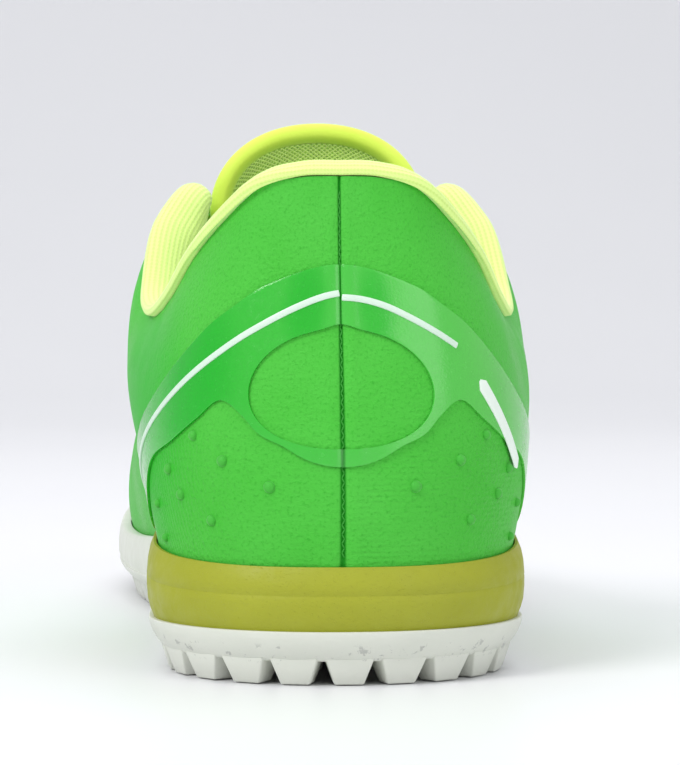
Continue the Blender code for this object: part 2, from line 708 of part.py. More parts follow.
def remove_ridge_walls(mesh, loops, grid, closed_round):
    """Past the throat the two halves meet on the ridge, so the faces between outer and inner edge go."""
    half = len(grid[0]) // 2
    count = len(loops)
    doomed = []
    for i in range(count if closed_round else count - 1):
        j = (i + 1) % count
        if min(side_and_place(loops[i])[1], side_and_place(loops[j])[1]) < THROAT_END - 1e-6:
            continue
        edge = {grid[i][half - 1], grid[i][half], grid[j][half - 1], grid[j][half]}
        doomed += [face for vertex in edge for face in vertex.link_faces if set(face.verts) <= edge]
    bmesh.ops.delete(mesh, geom=list(set(doomed)), context="FACES_ONLY")


def upper_loops():
    """Loop values of the upper's columns, with one on each side set exactly at the end of the throat."""
    values = [k / COLUMNS for k in range(COLUMNS + 1)]
    nearest = min(range(COLUMNS + 1), key=lambda k: abs(values[k] - THROAT_END))
    values[nearest] = THROAT_END
    return values + [2 - value for value in values[-2:0:-1]]


def eyelet_loops():
    """Loop values of the eyelets on the outer side, from the instep down to the throat's end."""
    first, last = EYESTAY_START + 0.055, THROAT_END - 0.035
    return [first + (last - first) * k / (EYELET_PAIRS - 1) for k in range(EYELET_PAIRS)]


EYELET_RISE = 1 - 0.46 * EYESTAY_SHARE


def eyelet_cutters():
    """Round bars through the eyestay and the upper at each eyelet."""
    mesh = bmesh.new()
    for place in eyelet_loops():
        for loop in (place, 2 - place):
            centre = wall_point(loop, EYELET_RISE)
            turn = wall_normal(loop, EYELET_RISE).to_track_quat("Z", "Y").to_matrix().to_4x4()
            bmesh.ops.create_cone(
                mesh, cap_ends=True, segments=ROUND_SIDES, radius1=EYELET_RADIUS, radius2=EYELET_RADIUS,
                depth=0.014, matrix=Matrix.Translation(centre) @ turn,
            )
    return object_from("eyelet_cutters", mesh, None)


def make_upper(finish):
    made = shell("upper", upper_loops(), 0, -UPPER_WALL, 0.0, finish, closed_round=True)
    boolean(made, eyelet_cutters(), "DIFFERENCE")
    return made


def make_eyestay(finish):
    """Overlay along both throat edges, joined round the throat's end."""
    loops = [loop for loop in upper_loops() if EYESTAY_START <= side_and_place(loop)[1] <= THROAT_END + 0.05]
    first_row = 1 + round(WALL_ROWS * (1 - EYESTAY_SHARE))
    made = throat_band("eyestay", loops, first_row, GAP, GAP + EYESTAY_THICKNESS, finish)
    boolean(made, eyelet_cutters(), "DIFFERENCE")
    half = BALL_WIDTH / 2
    ahead = [(-half, 0.0), (half, 0.0), (half, 2 * INSTEP_HEIGHT), (-half, 2 * INSTEP_HEIGHT)]
    boolean(made, prism("eyestay_front", ahead, EYESTAY_FRONT * SOLE_LENGTH, SOLE_LENGTH), "DIFFERENCE")
    return made


def throat_band(name, loops, first_row, low, high, finish):
    """The sheet along the throat. Its two sides meet on the ridge past the throat's end."""
    mesh = bmesh.new()
    for side in (1, -1):
        chosen = sorted(loop for loop in loops if side_and_place(loop)[0] == side or loop == 1.0)
        rings = []
        for loop in chosen:
            points, outs = upper_column(loop)
            outer = [p + o * high for p, o in zip(points[first_row:], outs[first_row:])]
            inner = [p + o * low for p, o in zip(points[first_row:], outs[first_row:])]
            rings.append(outer + inner[::-1])
        grid = skin(mesh, rings, closed_ring=True, close_ends=False, sheet=True)
        close_end(mesh, grid[0])
        close_end(mesh, grid[-1])
        remove_ridge_walls(mesh, chosen, grid, closed_round=False)
    return object_from(name, mesh, finish)


def prism(name, outline_points, near, far):
    """A flat outline in x and z, pushed along y from near to far."""
    mesh = bmesh.new()
    rings = [[Vector((x, y, z)) for x, z in outline_points] for y in (near, far)]
    grid = skin(mesh, rings, closed_ring=True, close_ends=False)
    mesh.faces.new(grid[0])
    mesh.faces.new(grid[-1])
    return object_from(name, mesh, None)


def make_heel_film(finish):
    """Film round the heel, cut to its outline and round its oval window as seen from behind."""
    loops = [k / COLUMNS for k in range(-COLUMNS // 2, COLUMNS // 2 + 1)]
    made = shell("heel_film", loops, 1, GAP, GAP + FILM_THICKNESS, finish, closed_round=False)
    reach = FILM[-1].out
    steps = 24
    outs = [reach * (2 * k / steps - 1) for k in range(steps + 1)]
    low = [(o * HEEL_WIDTH, film_table.read("low", abs(o)) * COLLAR_HEIGHT) for o in outs]
    high = [(o * HEEL_WIDTH, film_table.read("high", abs(o)) * COLLAR_HEIGHT) for o in outs]
    boolean(made, prism("film_outline", low + high[::-1], -0.02, 0.20 * SOLE_LENGTH), "INTERSECT")
    oval = [
        (WINDOW_HALF * math.cos(angle), WINDOW_MIDDLE + WINDOW_TALL * math.sin(angle))
        for angle in (2 * math.pi * k / 24 for k in range(24))
    ]
    boolean(made, prism("film_window", oval, -0.02, 0.20 * SOLE_LENGTH), "DIFFERENCE")
    return made


def lining_column(loop):
    """Closed section of the padded collar: down behind the wall, and rolled over its top edge."""
    _, place = side_and_place(loop)
    swell = 1 + 0.35 * smoothstep(0.25, COLLAR_END, place)
    pad = COLLAR_PAD * swell * (1 - 0.45 * smoothstep(COLLAR_END - 0.04, COLLAR_END, place))
    back = UPPER_WALL + 2 * GAP * (1 + smoothstep(0.25, COLLAR_END - 0.05, place))
    top = wall_point(loop, 1.0)
    inward = -wall_normal(loop, 1.0)
    along_edge = wall_point(loop + 0.004, 1.0) - wall_point(loop - 0.004, 1.0)
    lift = inward.cross(along_edge).normalized()
    lift = lift if lift.z > 0 else -lift
    rows = []
    for row in range(WALL_ROWS // 2, WALL_ROWS):
        rise = row / WALL_ROWS
        rows.append(wall_point(loop, rise) - wall_normal(loop, rise) * back)
    rows.append(top + inward * back + lift * 2 * GAP)
    rows.append(top + inward * 0.0003 + lift * 2 * GAP)
    rows.append(top + inward * 0.0002 + lift * 0.55 * COLLAR_ROLL)
    rows.append(top + inward * 0.0022 + lift * COLLAR_ROLL)
    rows.append(top + inward * (back + 0.55 * pad) + lift * 0.85 * COLLAR_ROLL)
    rows.append(top + inward * (back + pad) - lift * 0.0020)
    for row, thick in zip(range(WALL_ROWS - 1, 0, -1), (1.0, 0.92, 0.65, 0.28)):
        rise = row / WALL_ROWS
        rows.append(wall_point(loop, rise) - wall_normal(loop, rise) * (back + pad * thick))
    return rows


def make_collar_lining(finish):
    last = round(COLLAR_END * COLUMNS)
    loops = [k / COLUMNS for k in range(-last, last + 1)]
    mesh = bmesh.new()
    grid = skin(mesh, [lining_column(loop) for loop in loops], closed_ring=True, close_ends=False, sheet=True)
    close_end(mesh, grid[0])
    close_end(mesh, grid[-1])
    return object_from("collar_lining", mesh, finish)


def tongue_point(share_up, across, depth):
    """Point of the tongue: share_up runs from under the vamp to its top, across from -1 to 1."""
    corner = TONGUE_CORNER * abs(across) ** 3
    at = share_up * (1 - corner)
    half = tongue_table.read("half", at)
    sag = tongue_table.read("sag", at)
    y, z = tongue_table.read("y", at), tongue_table.read("z", at)
    away = Vector((0, math.cos(TONGUE_LEAN), math.sin(TONGUE_LEAN)))
    shift = ridge_table.read("shift", y / SOLE_LENGTH)
    bend = 1 - math.cos(across * math.radians(78))
    wide = math.sin(across * math.radians(78)) / math.sin(math.radians(78))
    full = 1 - math.cos(math.radians(78))
    middle = Vector((shift, y, z))
    out = away * math.cos(across * math.radians(55)) + Vector((math.sin(across * math.radians(55)), 0, 0))
    return middle + Vector((half * wide, 0, 0)) - away * sag * bend / full - out.normalized() * depth


def make_tongue(finish):
    across_steps, up_steps = 10, 12
    mesh = bmesh.new()
    rings = []
    for k in range(up_steps + 1):
        share_up = k / up_steps
        thin = 0.45 + 0.55 * smoothstep(0.0, 0.5, share_up)
        outs = [2 * n / across_steps - 1 for n in range(across_steps + 1)]
        front = [tongue_point(share_up, across, 0.0) for across in outs]
        back = [
            tongue_point(share_up, across * 0.97, TONGUE_THICKNESS * thin * (1 - 0.45 * abs(across) ** 3))
            for across in outs
        ]
        rings.append(front + back[::-1])
    grid = skin(mesh, rings, closed_ring=True, close_ends=False)
    close_end(mesh, grid[0])
    close_end(mesh, grid[-1])
    return object_from("tongue", mesh, finish)


def lace_end(loop):
    """Where a lace leaves an eyelet, just above the eyestay, with the ways out and towards the throat."""
    out = wall_normal(loop, EYELET_RISE)
    point = wall_point(loop, EYELET_RISE) + out * (EYESTAY_THICKNESS + 3.6 * GAP)
    return point, out, wall_up(loop, EYELET_RISE)


def lace_strip(start_loop, end_loop, lift):
    """A flat lace that arches over the tongue from one side of the throat to the other."""
    start, start_out, start_up = lace_end(start_loop)
    end, end_out, end_up = lace_end(end_loop)
    reach = 0.36 * (end - start).length
    handles = (start, start + start_up * reach + start_out * lift, end + end_up * reach + end_out * lift, end)
    steps = 8
    path, outs = [], []
    for k in range(steps + 1):
        t = k / steps
        s = 1 - t
        path.append(handles[0] * s**3 + handles[1] * 3 * s * s * t + handles[2] * 3 * s * t * t + handles[3] * t**3)
        outs.append(start_out.lerp(end_out, t).normalized())
    mesh = bmesh.new()
    rings = []
    for k, (point, out) in enumerate(zip(path, outs)):
        ahead = (path[min(k + 1, steps)] - path[max(k - 1, 0)]).normalized()
        wide = ahead.cross(out).normalized() * LACE_WIDTH / 2
        thick = wide.cross(ahead).normalized() * LACE_THICKNESS
        rings.append([point - wide, point + wide, point + wide + thick, point - wide + thick])
    grid = skin(mesh, rings, closed_ring=True, close_ends=False)
    mesh.faces.new(grid[0])
    mesh.faces.new(grid[-1])
    return mesh


def make_laces(finish):
    """A straight bar at the bottom pair of eyelets, and a crossing between each pair and the next."""
    places = eyelet_loops()
    low = places[-1] + LACE_SHIFT
    object_from("lace_bar", lace_strip(low, 2 - low, LACE_LIFT), finish)
    for n, (high_place, low_place) in enumerate(zip(places, places[1:]), 1):
        high, low = high_place + LACE_SHIFT, low_place - LACE_SHIFT
        crossing = object_from(f"lace_crossing_{n}", lace_strip(2 - low, high, LACE_LIFT), finish)
        over = lace_strip(low, 2 - high, LACE_LIFT + 0.5 * LACE_THICKNESS)
        boolean(crossing, object_from("lace_over", over, finish), "UNION")


def stand_on_origin():
    """Moves every piece so that the shoe's box stands centred on the origin."""
    pieces = [piece for piece in bpy.data.objects if piece.type == "MESH"]
    points = [vertex.co for piece in pieces for vertex in piece.data.vertices]
    low = Vector([min(point[i] for point in points) for i in range(3)])
    high = Vector([max(point[i] for point in points) for i in range(3)])
    shift = Matrix.Translation(Vector((-(low.x + high.x) / 2, -(low.y + high.y) / 2, -low.z)))
    for piece in pieces:
        piece.data.transform(shift)


def main():
    for old in list(bpy.data.objects):
        bpy.data.objects.remove(old)
    white_rubber = material("white_rubber", (0.80, 0.84, 0.80), 0.55)
    olive_foam = material("olive_foam", (0.42, 0.44, 0.05), 0.62)
    green_skin = material("green_microfibre", (0.07, 0.62, 0.05), 0.60)
    green_film = material("green_film", (0.05, 0.60, 0.04), 0.25)
    yellow_knit = material("yellow_knit", (0.62, 0.92, 0.12), 0.85)
    yellow_tongue = material("yellow_tongue", (0.66, 0.86, 0.03), 0.75)
    lace_yellow = material("lace_yellow", (0.66, 0.86, 0.03), 0.80)
    sock_green = material("sockliner_green", (0.10, 0.50, 0.08), 0.85)
    make_outsole(white_rubber)
    make_midsole(olive_foam)
    make_insole(sock_green)
    make_upper(green_skin)
    make_eyestay(green_skin)
    make_heel_film(green_film)
    make_collar_lining(yellow_knit)
    make_tongue(yellow_tongue)
    make_laces(lace_yellow)
    stand_on_origin()


main()
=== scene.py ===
"""Right futsal shoe: the looks. Metres, +Z up, toe towards +Y, outer side towards +X.

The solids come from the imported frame. Every piece is laid again here on the same lines, finer, with its own
relief and finish.
"""
import math
from collections import namedtuple
from functools import lru_cache

import bpy
from mathutils import Matrix, Vector


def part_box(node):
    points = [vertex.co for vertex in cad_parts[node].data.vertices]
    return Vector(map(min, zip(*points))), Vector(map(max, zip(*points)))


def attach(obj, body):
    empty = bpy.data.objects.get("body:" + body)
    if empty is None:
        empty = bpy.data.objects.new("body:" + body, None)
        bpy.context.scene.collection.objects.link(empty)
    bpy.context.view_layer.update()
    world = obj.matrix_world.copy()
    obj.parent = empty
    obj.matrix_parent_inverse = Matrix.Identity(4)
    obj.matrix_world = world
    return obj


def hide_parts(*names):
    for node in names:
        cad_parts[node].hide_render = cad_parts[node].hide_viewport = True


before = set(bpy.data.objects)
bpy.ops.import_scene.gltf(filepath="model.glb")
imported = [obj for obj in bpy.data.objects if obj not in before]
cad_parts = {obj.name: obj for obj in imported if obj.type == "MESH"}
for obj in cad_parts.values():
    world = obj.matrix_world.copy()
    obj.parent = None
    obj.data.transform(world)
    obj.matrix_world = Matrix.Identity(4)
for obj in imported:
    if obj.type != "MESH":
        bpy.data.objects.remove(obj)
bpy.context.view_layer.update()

# Sizes of the shoe, the same as in the part's source
SOLE_LENGTH = 0.290
HEEL_WIDTH = 0.0745
BALL_WIDTH = 0.0950
TOE_SPRING = 0.0095
COLLAR_HEIGHT = 0.0957
ANKLE_HEIGHT = 0.0693
INSTEP_HEIGHT = 0.0965
THROAT_HEIGHT = 0.0650
TOE_HEIGHT = 0.0470
TONGUE_HEIGHT = 0.1105

GAP = 0.0003
UPPER_WALL = 0.0022
EYESTAY_THICKNESS = 0.0009
TONGUE_THICKNESS = 0.0042
INSOLE_THICKNESS = 0.0038
COLLAR_PAD = 0.0052
COLLAR_ROLL = 0.0032
CUP_WALL = 0.0030
MIDSOLE_LIP = 0.0014
CUP_FULL = 0.5

LUG_HEIGHT = 0.0045
OUTSOLE_HEEL_TOP = 0.0103
OUTSOLE_FOREFOOT_TOP = 0.0084
FOOTBED_HEEL = 0.0178
FOOTBED_FOREFOOT = 0.0113
SIDE_HEEL_TOP = 0.0224
SIDE_QUARTER_TOP = 0.0262
SIDE_FOREFOOT_TOP = 0.0173
SIDE_TOE_TOP = 0.0205

EYELET_PAIRS = 6
EYELET_RADIUS = 0.0021

UP = Vector((0, 0, 1))

# The plan of the sole: centre line and half width by share of its length, before the ends are rounded
PlanRow = namedtuple("PlanRow", "along centre half")
PLAN = [
    PlanRow(0.00, 0.005 * BALL_WIDTH, 0.478 * HEEL_WIDTH),
    PlanRow(0.14, 0.012 * BALL_WIDTH, 0.500 * HEEL_WIDTH),
    PlanRow(0.26, 0.022 * BALL_WIDTH, 0.488 * HEEL_WIDTH),
    PlanRow(0.38, 0.042 * BALL_WIDTH, 0.382 * BALL_WIDTH),
    PlanRow(0.50, 0.056 * BALL_WIDTH, 0.430 * BALL_WIDTH),
    PlanRow(0.60, 0.056 * BALL_WIDTH, 0.484 * BALL_WIDTH),
    PlanRow(0.67, 0.048 * BALL_WIDTH, 0.500 * BALL_WIDTH),
    PlanRow(0.77, 0.026 * BALL_WIDTH, 0.494 * BALL_WIDTH),
    PlanRow(0.88, -0.020 * BALL_WIDTH, 0.462 * BALL_WIDTH),
    PlanRow(1.00, -0.075 * BALL_WIDTH, 0.405 * BALL_WIDTH),
]
HEEL_ROUND = 0.130
HEEL_ROUND_POWER = 2.15
TOE_ROUND = 0.285
TOE_ROUND_POWER = 2.15

# Levels along the sole, as heights above the floor before the toe springs up
LevelRow = namedtuple("LevelRow", "along side_top footbed outsole_top inset cup")
LEVELS = [
    LevelRow(0.00, SIDE_HEEL_TOP, FOOTBED_HEEL, OUTSOLE_HEEL_TOP, 0.0, 0.0),
    LevelRow(0.06, SIDE_HEEL_TOP + 0.2 * (SIDE_QUARTER_TOP - SIDE_HEEL_TOP),
             FOOTBED_HEEL, OUTSOLE_HEEL_TOP, 0.0, 0.0),
    LevelRow(0.16, SIDE_QUARTER_TOP - 0.1 * (SIDE_QUARTER_TOP - SIDE_HEEL_TOP),
             FOOTBED_HEEL, OUTSOLE_HEEL_TOP, 0.0, 0.0),
    LevelRow(0.26, SIDE_QUARTER_TOP, FOOTBED_HEEL, OUTSOLE_HEEL_TOP, 0.0, 0.0),
    LevelRow(0.33, SIDE_QUARTER_TOP - 0.2 * (SIDE_QUARTER_TOP - SIDE_FOREFOOT_TOP),
             0.95 * FOOTBED_HEEL, OUTSOLE_HEEL_TOP, 0.6, 0.0),
    LevelRow(0.40, SIDE_QUARTER_TOP - 0.5 * (SIDE_QUARTER_TOP - SIDE_FOREFOOT_TOP),
             0.87 * FOOTBED_HEEL, OUTSOLE_HEEL_TOP, 1.0, 0.35),
    LevelRow(0.47, SIDE_FOREFOOT_TOP + 0.2 * (SIDE_QUARTER_TOP - SIDE_FOREFOOT_TOP),
             FOOTBED_FOREFOOT + 0.2 * (FOOTBED_HEEL - FOOTBED_FOREFOOT),
             OUTSOLE_FOREFOOT_TOP + 0.3 * (OUTSOLE_HEEL_TOP - OUTSOLE_FOREFOOT_TOP), 1.0, 0.8),
    LevelRow(0.54, SIDE_FOREFOOT_TOP, FOOTBED_FOREFOOT, OUTSOLE_FOREFOOT_TOP, 1.0, 1.0),
    LevelRow(0.80, SIDE_FOREFOOT_TOP, FOOTBED_FOREFOOT, OUTSOLE_FOREFOOT_TOP, 1.0, 1.0),
    LevelRow(0.93, 0.4 * SIDE_FOREFOOT_TOP + 0.6 * SIDE_TOE_TOP, FOOTBED_FOREFOOT, OUTSOLE_FOREFOOT_TOP,
             1.0, 1.0),
    LevelRow(1.00, SIDE_TOE_TOP, FOOTBED_FOREFOOT, OUTSOLE_FOREFOOT_TOP, 1.0, 1.0),
]
SPRING_START = 0.70
SPRING_POWER = 1.9

# The side of the sole: how far each level is tucked in from the plan's outline
SideRow = namedtuple("SideRow", "rise tuck")
OUTSOLE_SIDE = [
    SideRow(0.00, 0.0034),
    SideRow(0.03, 0.0030),
    SideRow(0.12, 0.0025),
    SideRow(0.30, 0.0017),
    SideRow(0.50, 0.0010),
    SideRow(0.70, 0.0005),
    SideRow(0.88, 0.0002),
    SideRow(0.97, 0.0002),
    SideRow(1.00, 0.0004),
]
CUP_SIDE = [
    SideRow(0.20, -0.0001),
    SideRow(0.50, -0.0001),
    SideRow(0.80, 0.0002),
    SideRow(0.95, 0.0006),
    SideRow(1.00, 0.0012),
]
# The four rows close together are a fine parting line round the foam
MIDSOLE_SIDE = [
    SideRow(0.000, 0.0011),
    SideRow(0.040, 0.0007),
    SideRow(0.120, 0.0002),
    SideRow(0.250, -0.0003),
    SideRow(0.420, -0.0005),
    SideRow(0.540, -0.0005),
    SideRow(0.555, -0.0004),
    SideRow(0.570, -0.0004),
    SideRow(0.585, -0.0005),
    SideRow(0.750, -0.0003),
    SideRow(0.880, 0.0001),
    SideRow(0.960, 0.0006),
    SideRow(1.000, 0.0012),
]
INSOLE_SIDE = [
    SideRow(0.00, 0.0012),
    SideRow(0.10, 0.0003),
    SideRow(0.45, 0.0000),
    SideRow(0.85, 0.0004),
    SideRow(1.00, 0.0014),
    SideRow(0.96, 0.0030),
    SideRow(0.84, 0.0060),
]

# The upper, a row for each section from the middle of the heel (place 0) to the toe tip (place 1).
# top_y, top_half and top_z place the collar, the throat edge or, past the throat, the ridge of the vamp.
# low and high are how far the wall bellies out, tilt is how flat the wall arrives at the top, in degrees.
Section = namedtuple("Section", "place top_y top_half top_z low high reach tilt")
SECTIONS = [
    Section(0.000, 0.0250 * SOLE_LENGTH, 0.000 * HEEL_WIDTH, 1.000 * COLLAR_HEIGHT, 0.0050, 0.0005, 0.40, 88),
    Section(0.050, 0.0260 * SOLE_LENGTH, 0.100 * HEEL_WIDTH, 0.998 * COLLAR_HEIGHT, 0.0050, 0.0008, 0.40, 88),
    Section(0.100, 0.0345 * SOLE_LENGTH, 0.200 * HEEL_WIDTH, 0.978 * COLLAR_HEIGHT, 0.0046, 0.0018, 0.40, 86),
    Section(0.150, 0.0560 * SOLE_LENGTH, 0.290 * HEEL_WIDTH, 0.915 * COLLAR_HEIGHT, 0.0042, 0.0034, 0.40, 84),
    Section(0.200, 0.0960 * SOLE_LENGTH, 0.368 * HEEL_WIDTH, 1.165 * ANKLE_HEIGHT, 0.0040, 0.0048, 0.38, 82),
    Section(0.250, 0.1420 * SOLE_LENGTH, 0.430 * HEEL_WIDTH, 1.055 * ANKLE_HEIGHT, 0.0042, 0.0060, 0.36, 80),
    Section(0.300, 0.1960 * SOLE_LENGTH, 0.480 * HEEL_WIDTH, 1.000 * ANKLE_HEIGHT, 0.0040, 0.0066, 0.36, 78),
    Section(0.350, 0.2440 * SOLE_LENGTH, 0.497 * HEEL_WIDTH, 1.060 * ANKLE_HEIGHT, 0.0038, 0.0060, 0.36, 74),
    Section(0.400, 0.2850 * SOLE_LENGTH, 0.458 * HEEL_WIDTH, 0.915 * INSTEP_HEIGHT, 0.0050, 0.0060, 0.38, 66),
    Section(0.430, 0.3080 * SOLE_LENGTH, 0.395 * HEEL_WIDTH, 0.990 * INSTEP_HEIGHT, 0.0050, 0.0060, 0.40, 58),
    Section(0.460, 0.3360 * SOLE_LENGTH, 0.345 * HEEL_WIDTH, 0.965 * INSTEP_HEIGHT, 0.0050, 0.0055, 0.42, 47),
    Section(0.500, 0.3820 * SOLE_LENGTH, 0.265 * HEEL_WIDTH, 0.912 * INSTEP_HEIGHT, 0.0050, 0.0050, 0.44, 37),
    Section(0.550, 0.4520 * SOLE_LENGTH, 0.190 * HEEL_WIDTH, 0.808 * INSTEP_HEIGHT, 0.0050, 0.0040, 0.46, 28),
    Section(0.600, 0.5260 * SOLE_LENGTH, 0.150 * HEEL_WIDTH, 1.105 * THROAT_HEIGHT, 0.0050, 0.0030, 0.48, 20),
    Section(0.632, 0.5680 * SOLE_LENGTH, 0.112 * HEEL_WIDTH, 1.030 * THROAT_HEIGHT, 0.0050, 0.0020, 0.48, 10),
    Section(0.655, 0.5830 * SOLE_LENGTH, 0.000 * HEEL_WIDTH, 1.000 * THROAT_HEIGHT, 0.0048, 0.0000, 0.48, 0),
    Section(0.700, 0.6300 * SOLE_LENGTH, 0.000 * HEEL_WIDTH, 0.922 * THROAT_HEIGHT, 0.0046, 0.0000, 0.50, 0),
    Section(0.800, 0.7380 * SOLE_LENGTH, 0.000 * HEEL_WIDTH, 1.150 * TOE_HEIGHT, 0.0040, 0.0000, 0.54, 0),
    Section(0.900, 0.8200 * SOLE_LENGTH, 0.000 * HEEL_WIDTH, 1.045 * TOE_HEIGHT, 0.0034, 0.0000, 0.56, 0),
    Section(1.000, 0.8520 * SOLE_LENGTH, 0.000 * HEEL_WIDTH, 1.000 * TOE_HEIGHT, 0.0030, 0.0000, 0.56, 0),
]
THROAT_END = 0.655
COLLAR_END = 0.4375
EYESTAY_START = 0.430
EYESTAY_SHARE = 0.30

# The ridge that the vamp's two halves meet on swings towards the big toe
RidgeRow = namedtuple("RidgeRow", "along shift")
RIDGE = [
    RidgeRow(0.00, 0.000 * BALL_WIDTH),
    RidgeRow(0.20, 0.010 * BALL_WIDTH),
    RidgeRow(0.40, 0.000 * BALL_WIDTH),
    RidgeRow(0.60, -0.025 * BALL_WIDTH),
    RidgeRow(0.80, -0.048 * BALL_WIDTH),
    RidgeRow(1.00, -0.075 * BALL_WIDTH),
]

# The tongue's middle line, from under the vamp to its top
TongueRow = namedtuple("TongueRow", "share y z half sag")
TONGUE = [
    TongueRow(0.00, 0.650 * SOLE_LENGTH, 0.850 * THROAT_HEIGHT, 0.215 * HEEL_WIDTH, 0.0050),
    TongueRow(0.15, 0.575 * SOLE_LENGTH, 0.958 * THROAT_HEIGHT, 0.230 * HEEL_WIDTH, 0.0070),
    TongueRow(0.35, 0.490 * SOLE_LENGTH, 0.745 * INSTEP_HEIGHT, 0.240 * HEEL_WIDTH, 0.0090),
    TongueRow(0.60, 0.405 * SOLE_LENGTH, 0.864 * INSTEP_HEIGHT, 0.250 * HEEL_WIDTH, 0.0115),
    TongueRow(0.80, 0.366 * SOLE_LENGTH, 0.855 * TONGUE_HEIGHT, 0.252 * HEEL_WIDTH, 0.0125),
    TongueRow(1.00, 0.344 * SOLE_LENGTH, 1.000 * TONGUE_HEIGHT, 0.318 * HEEL_WIDTH, 0.0130),
]
TONGUE_LEAN = math.radians(74)
TONGUE_CORNER = 0.08


def slopes(places, values, odd_start, odd_end):
    """Slopes of a smooth curve through the rows. An odd end runs straight on, an even one levels out."""
    steps = [b - a for a, b in zip(places, places[1:])]
    rises = [(b - a) / s for a, b, s in zip(values, values[1:], steps)]
    inner = [
        (rises[i - 1] * steps[i] + rises[i] * steps[i - 1]) / (steps[i] + steps[i - 1])
        for i in range(1, len(rises))
    ]
    return [rises[0] if odd_start else 0.0, *inner, rises[-1] if odd_end else 0.0]


class Table:
    """Named columns over a place, read from smooth curves through short rows."""

    def __init__(self, rows, odd_start=(), odd_end=()):
        names = rows[0]._fields
        self.places = [row[0] for row in rows]
        self.columns = {}
        for name in names[1:]:
            values = [getattr(row, name) for row in rows]
            self.columns[name] = (
                values,
                slopes(self.places, values, name in odd_start, name in odd_end),
            )

    def read(self, name, place):
        place = min(max(place, self.places[0]), self.places[-1])
        values, slope = self.columns[name]
        last = len(self.places) - 2
        i = min(last, next((k for k in range(last + 1) if place <= self.places[k + 1]), last))
        span = self.places[i + 1] - self.places[i]
        t = (place - self.places[i]) / span
        return (
            values[i] * (1 + 2 * t) * (1 - t) ** 2
            + slope[i] * span * t * (1 - t) ** 2
            + values[i + 1] * t * t * (3 - 2 * t)
            - slope[i + 1] * span * t * t * (1 - t)
        )


plan_table = Table(PLAN, odd_start=("centre", "half"), odd_end=("centre", "half"))
level_table = Table(LEVELS)
section_table = Table(SECTIONS, odd_start=("top_half",))
ridge_table = Table(RIDGE, odd_end=("shift",))
tongue_table = Table(TONGUE, odd_start=("y", "z"), odd_end=("y", "z"))


def smoothstep(low, high, value):
    """0 below low, 1 above high, soft between."""
    t = min(max((value - low) / (high - low), 0.0), 1.0)
    return t * t * (3 - 2 * t)


def side_and_place(loop):
    """(+1 outer or -1 inner side, place from heel 0 to toe 1) of a loop value."""
    loop = loop % 2.0
    return (1, loop) if loop <= 1.0 else (-1, 2.0 - loop)


def end_rounding(along):
    """Share of the half width that is left as the plan closes at the heel and at the toe."""
    rounded = 1.0
    if along < HEEL_ROUND:
        rounded = (1 - (1 - along / HEEL_ROUND) ** HEEL_ROUND_POWER) ** (1 / HEEL_ROUND_POWER)
    if along > 1 - TOE_ROUND:
        reach = min(1.0, (along - (1 - TOE_ROUND)) / TOE_ROUND)
        rounded = (1 - reach**TOE_ROUND_POWER) ** (1 / TOE_ROUND_POWER)
    return rounded


def along_of(place):
    """Share of the sole's length at a place: columns crowd towards the round ends."""
    return (1 - math.cos(math.pi * place)) / 2


def outline(loop, inset=0.0):
    """Point of the sole's widest line in plan, moved in by inset."""
    def on_line(at):
        side, place = side_and_place(at)
        along = along_of(place)
        half = plan_table.read("half", along) * end_rounding(along)
        return Vector((plan_table.read("centre", along) + side * half, SOLE_LENGTH * along, 0))

    here = on_line(loop)
    return here - outward(on_line, loop) * inset if inset else here


def outward(on_line, loop, step=0.004):
    """Level direction that points out of a closed plan line at a loop value."""
    tangent = on_line(loop + step) - on_line(loop - step)
    return Vector((tangent.y, -tangent.x, 0)).normalized()


def out_of_sole(loop):
    """Level direction out of the sole's outline."""
    return outward(outline, loop)


def spring(along):
    """How far the toe springs up off the floor."""
    rise = max(0.0, (along - SPRING_START) / (1 - SPRING_START))
    return TOE_SPRING * rise**SPRING_POWER


def level(name, loop):
    """Height above the floor of a level of the sole at a loop value, with the toe's spring."""
    along = along_of(side_and_place(loop)[1])
    return level_table.read(name, along) + spring(along)


def share(name, loop):
    """A plain share from the levels table at a loop value."""
    return min(1.0, max(0.0, level_table.read(name, along_of(side_and_place(loop)[1]))))


def upper_inset(loop):
    """How far inside the sole's outline the upper's outer face stands."""
    in_heel = GAP + MIDSOLE_LIP + GAP
    in_forefoot = CUP_WALL + GAP
    return in_heel + (in_forefoot - in_heel) * share("inset", loop)


def top_point(place, side):
    """Point of the collar, throat edge or vamp ridge."""
    y = section_table.read("top_y", place)
    half = section_table.read("top_half", place) if place < THROAT_END else 0.0
    shift = ridge_table.read("shift", y / SOLE_LENGTH)
    return Vector((shift + side * half, y, section_table.read("top_z", place)))


def ridge_fall(place):
    """Slope of the instep and vamp along the shoe at a place."""
    middle = min(max(place, 0.50), 0.965)
    ahead, behind = top_point(middle + 0.02, 1), top_point(middle - 0.02, 1)
    return (ahead.z - behind.z) / (ahead.y - behind.y)


def wall_curve(loop):
    """The four handles of the upper's section at a loop value, above the sole."""
    side, place = side_and_place(loop)
    out = out_of_sole(loop)
    foot = outline(loop, upper_inset(loop))
    foot.z = level("side_top", loop)
    top = top_point(place, side)
    height = top.z - foot.z
    spread = Vector((foot.x - top.x, foot.y - top.y, 0))
    tilt = math.radians(section_table.read("tilt", place))
    flat = spread.normalized() if spread.length > 1e-6 else out
    flat = (flat * math.cos(tilt) + out * math.sin(tilt)).normalized()
    fall = ridge_fall(place) * flat.y * math.cos(tilt)
    arrive = (flat * math.cos(tilt) + UP * fall - UP * math.sin(tilt)).normalized()
    span = (top - foot).length
    low = foot + out * section_table.read("low", place) + UP * 0.36 * height
    reach = span * section_table.read("reach", place)
    high = top + arrive * reach + out * section_table.read("high", place)
    return foot, low, high, top


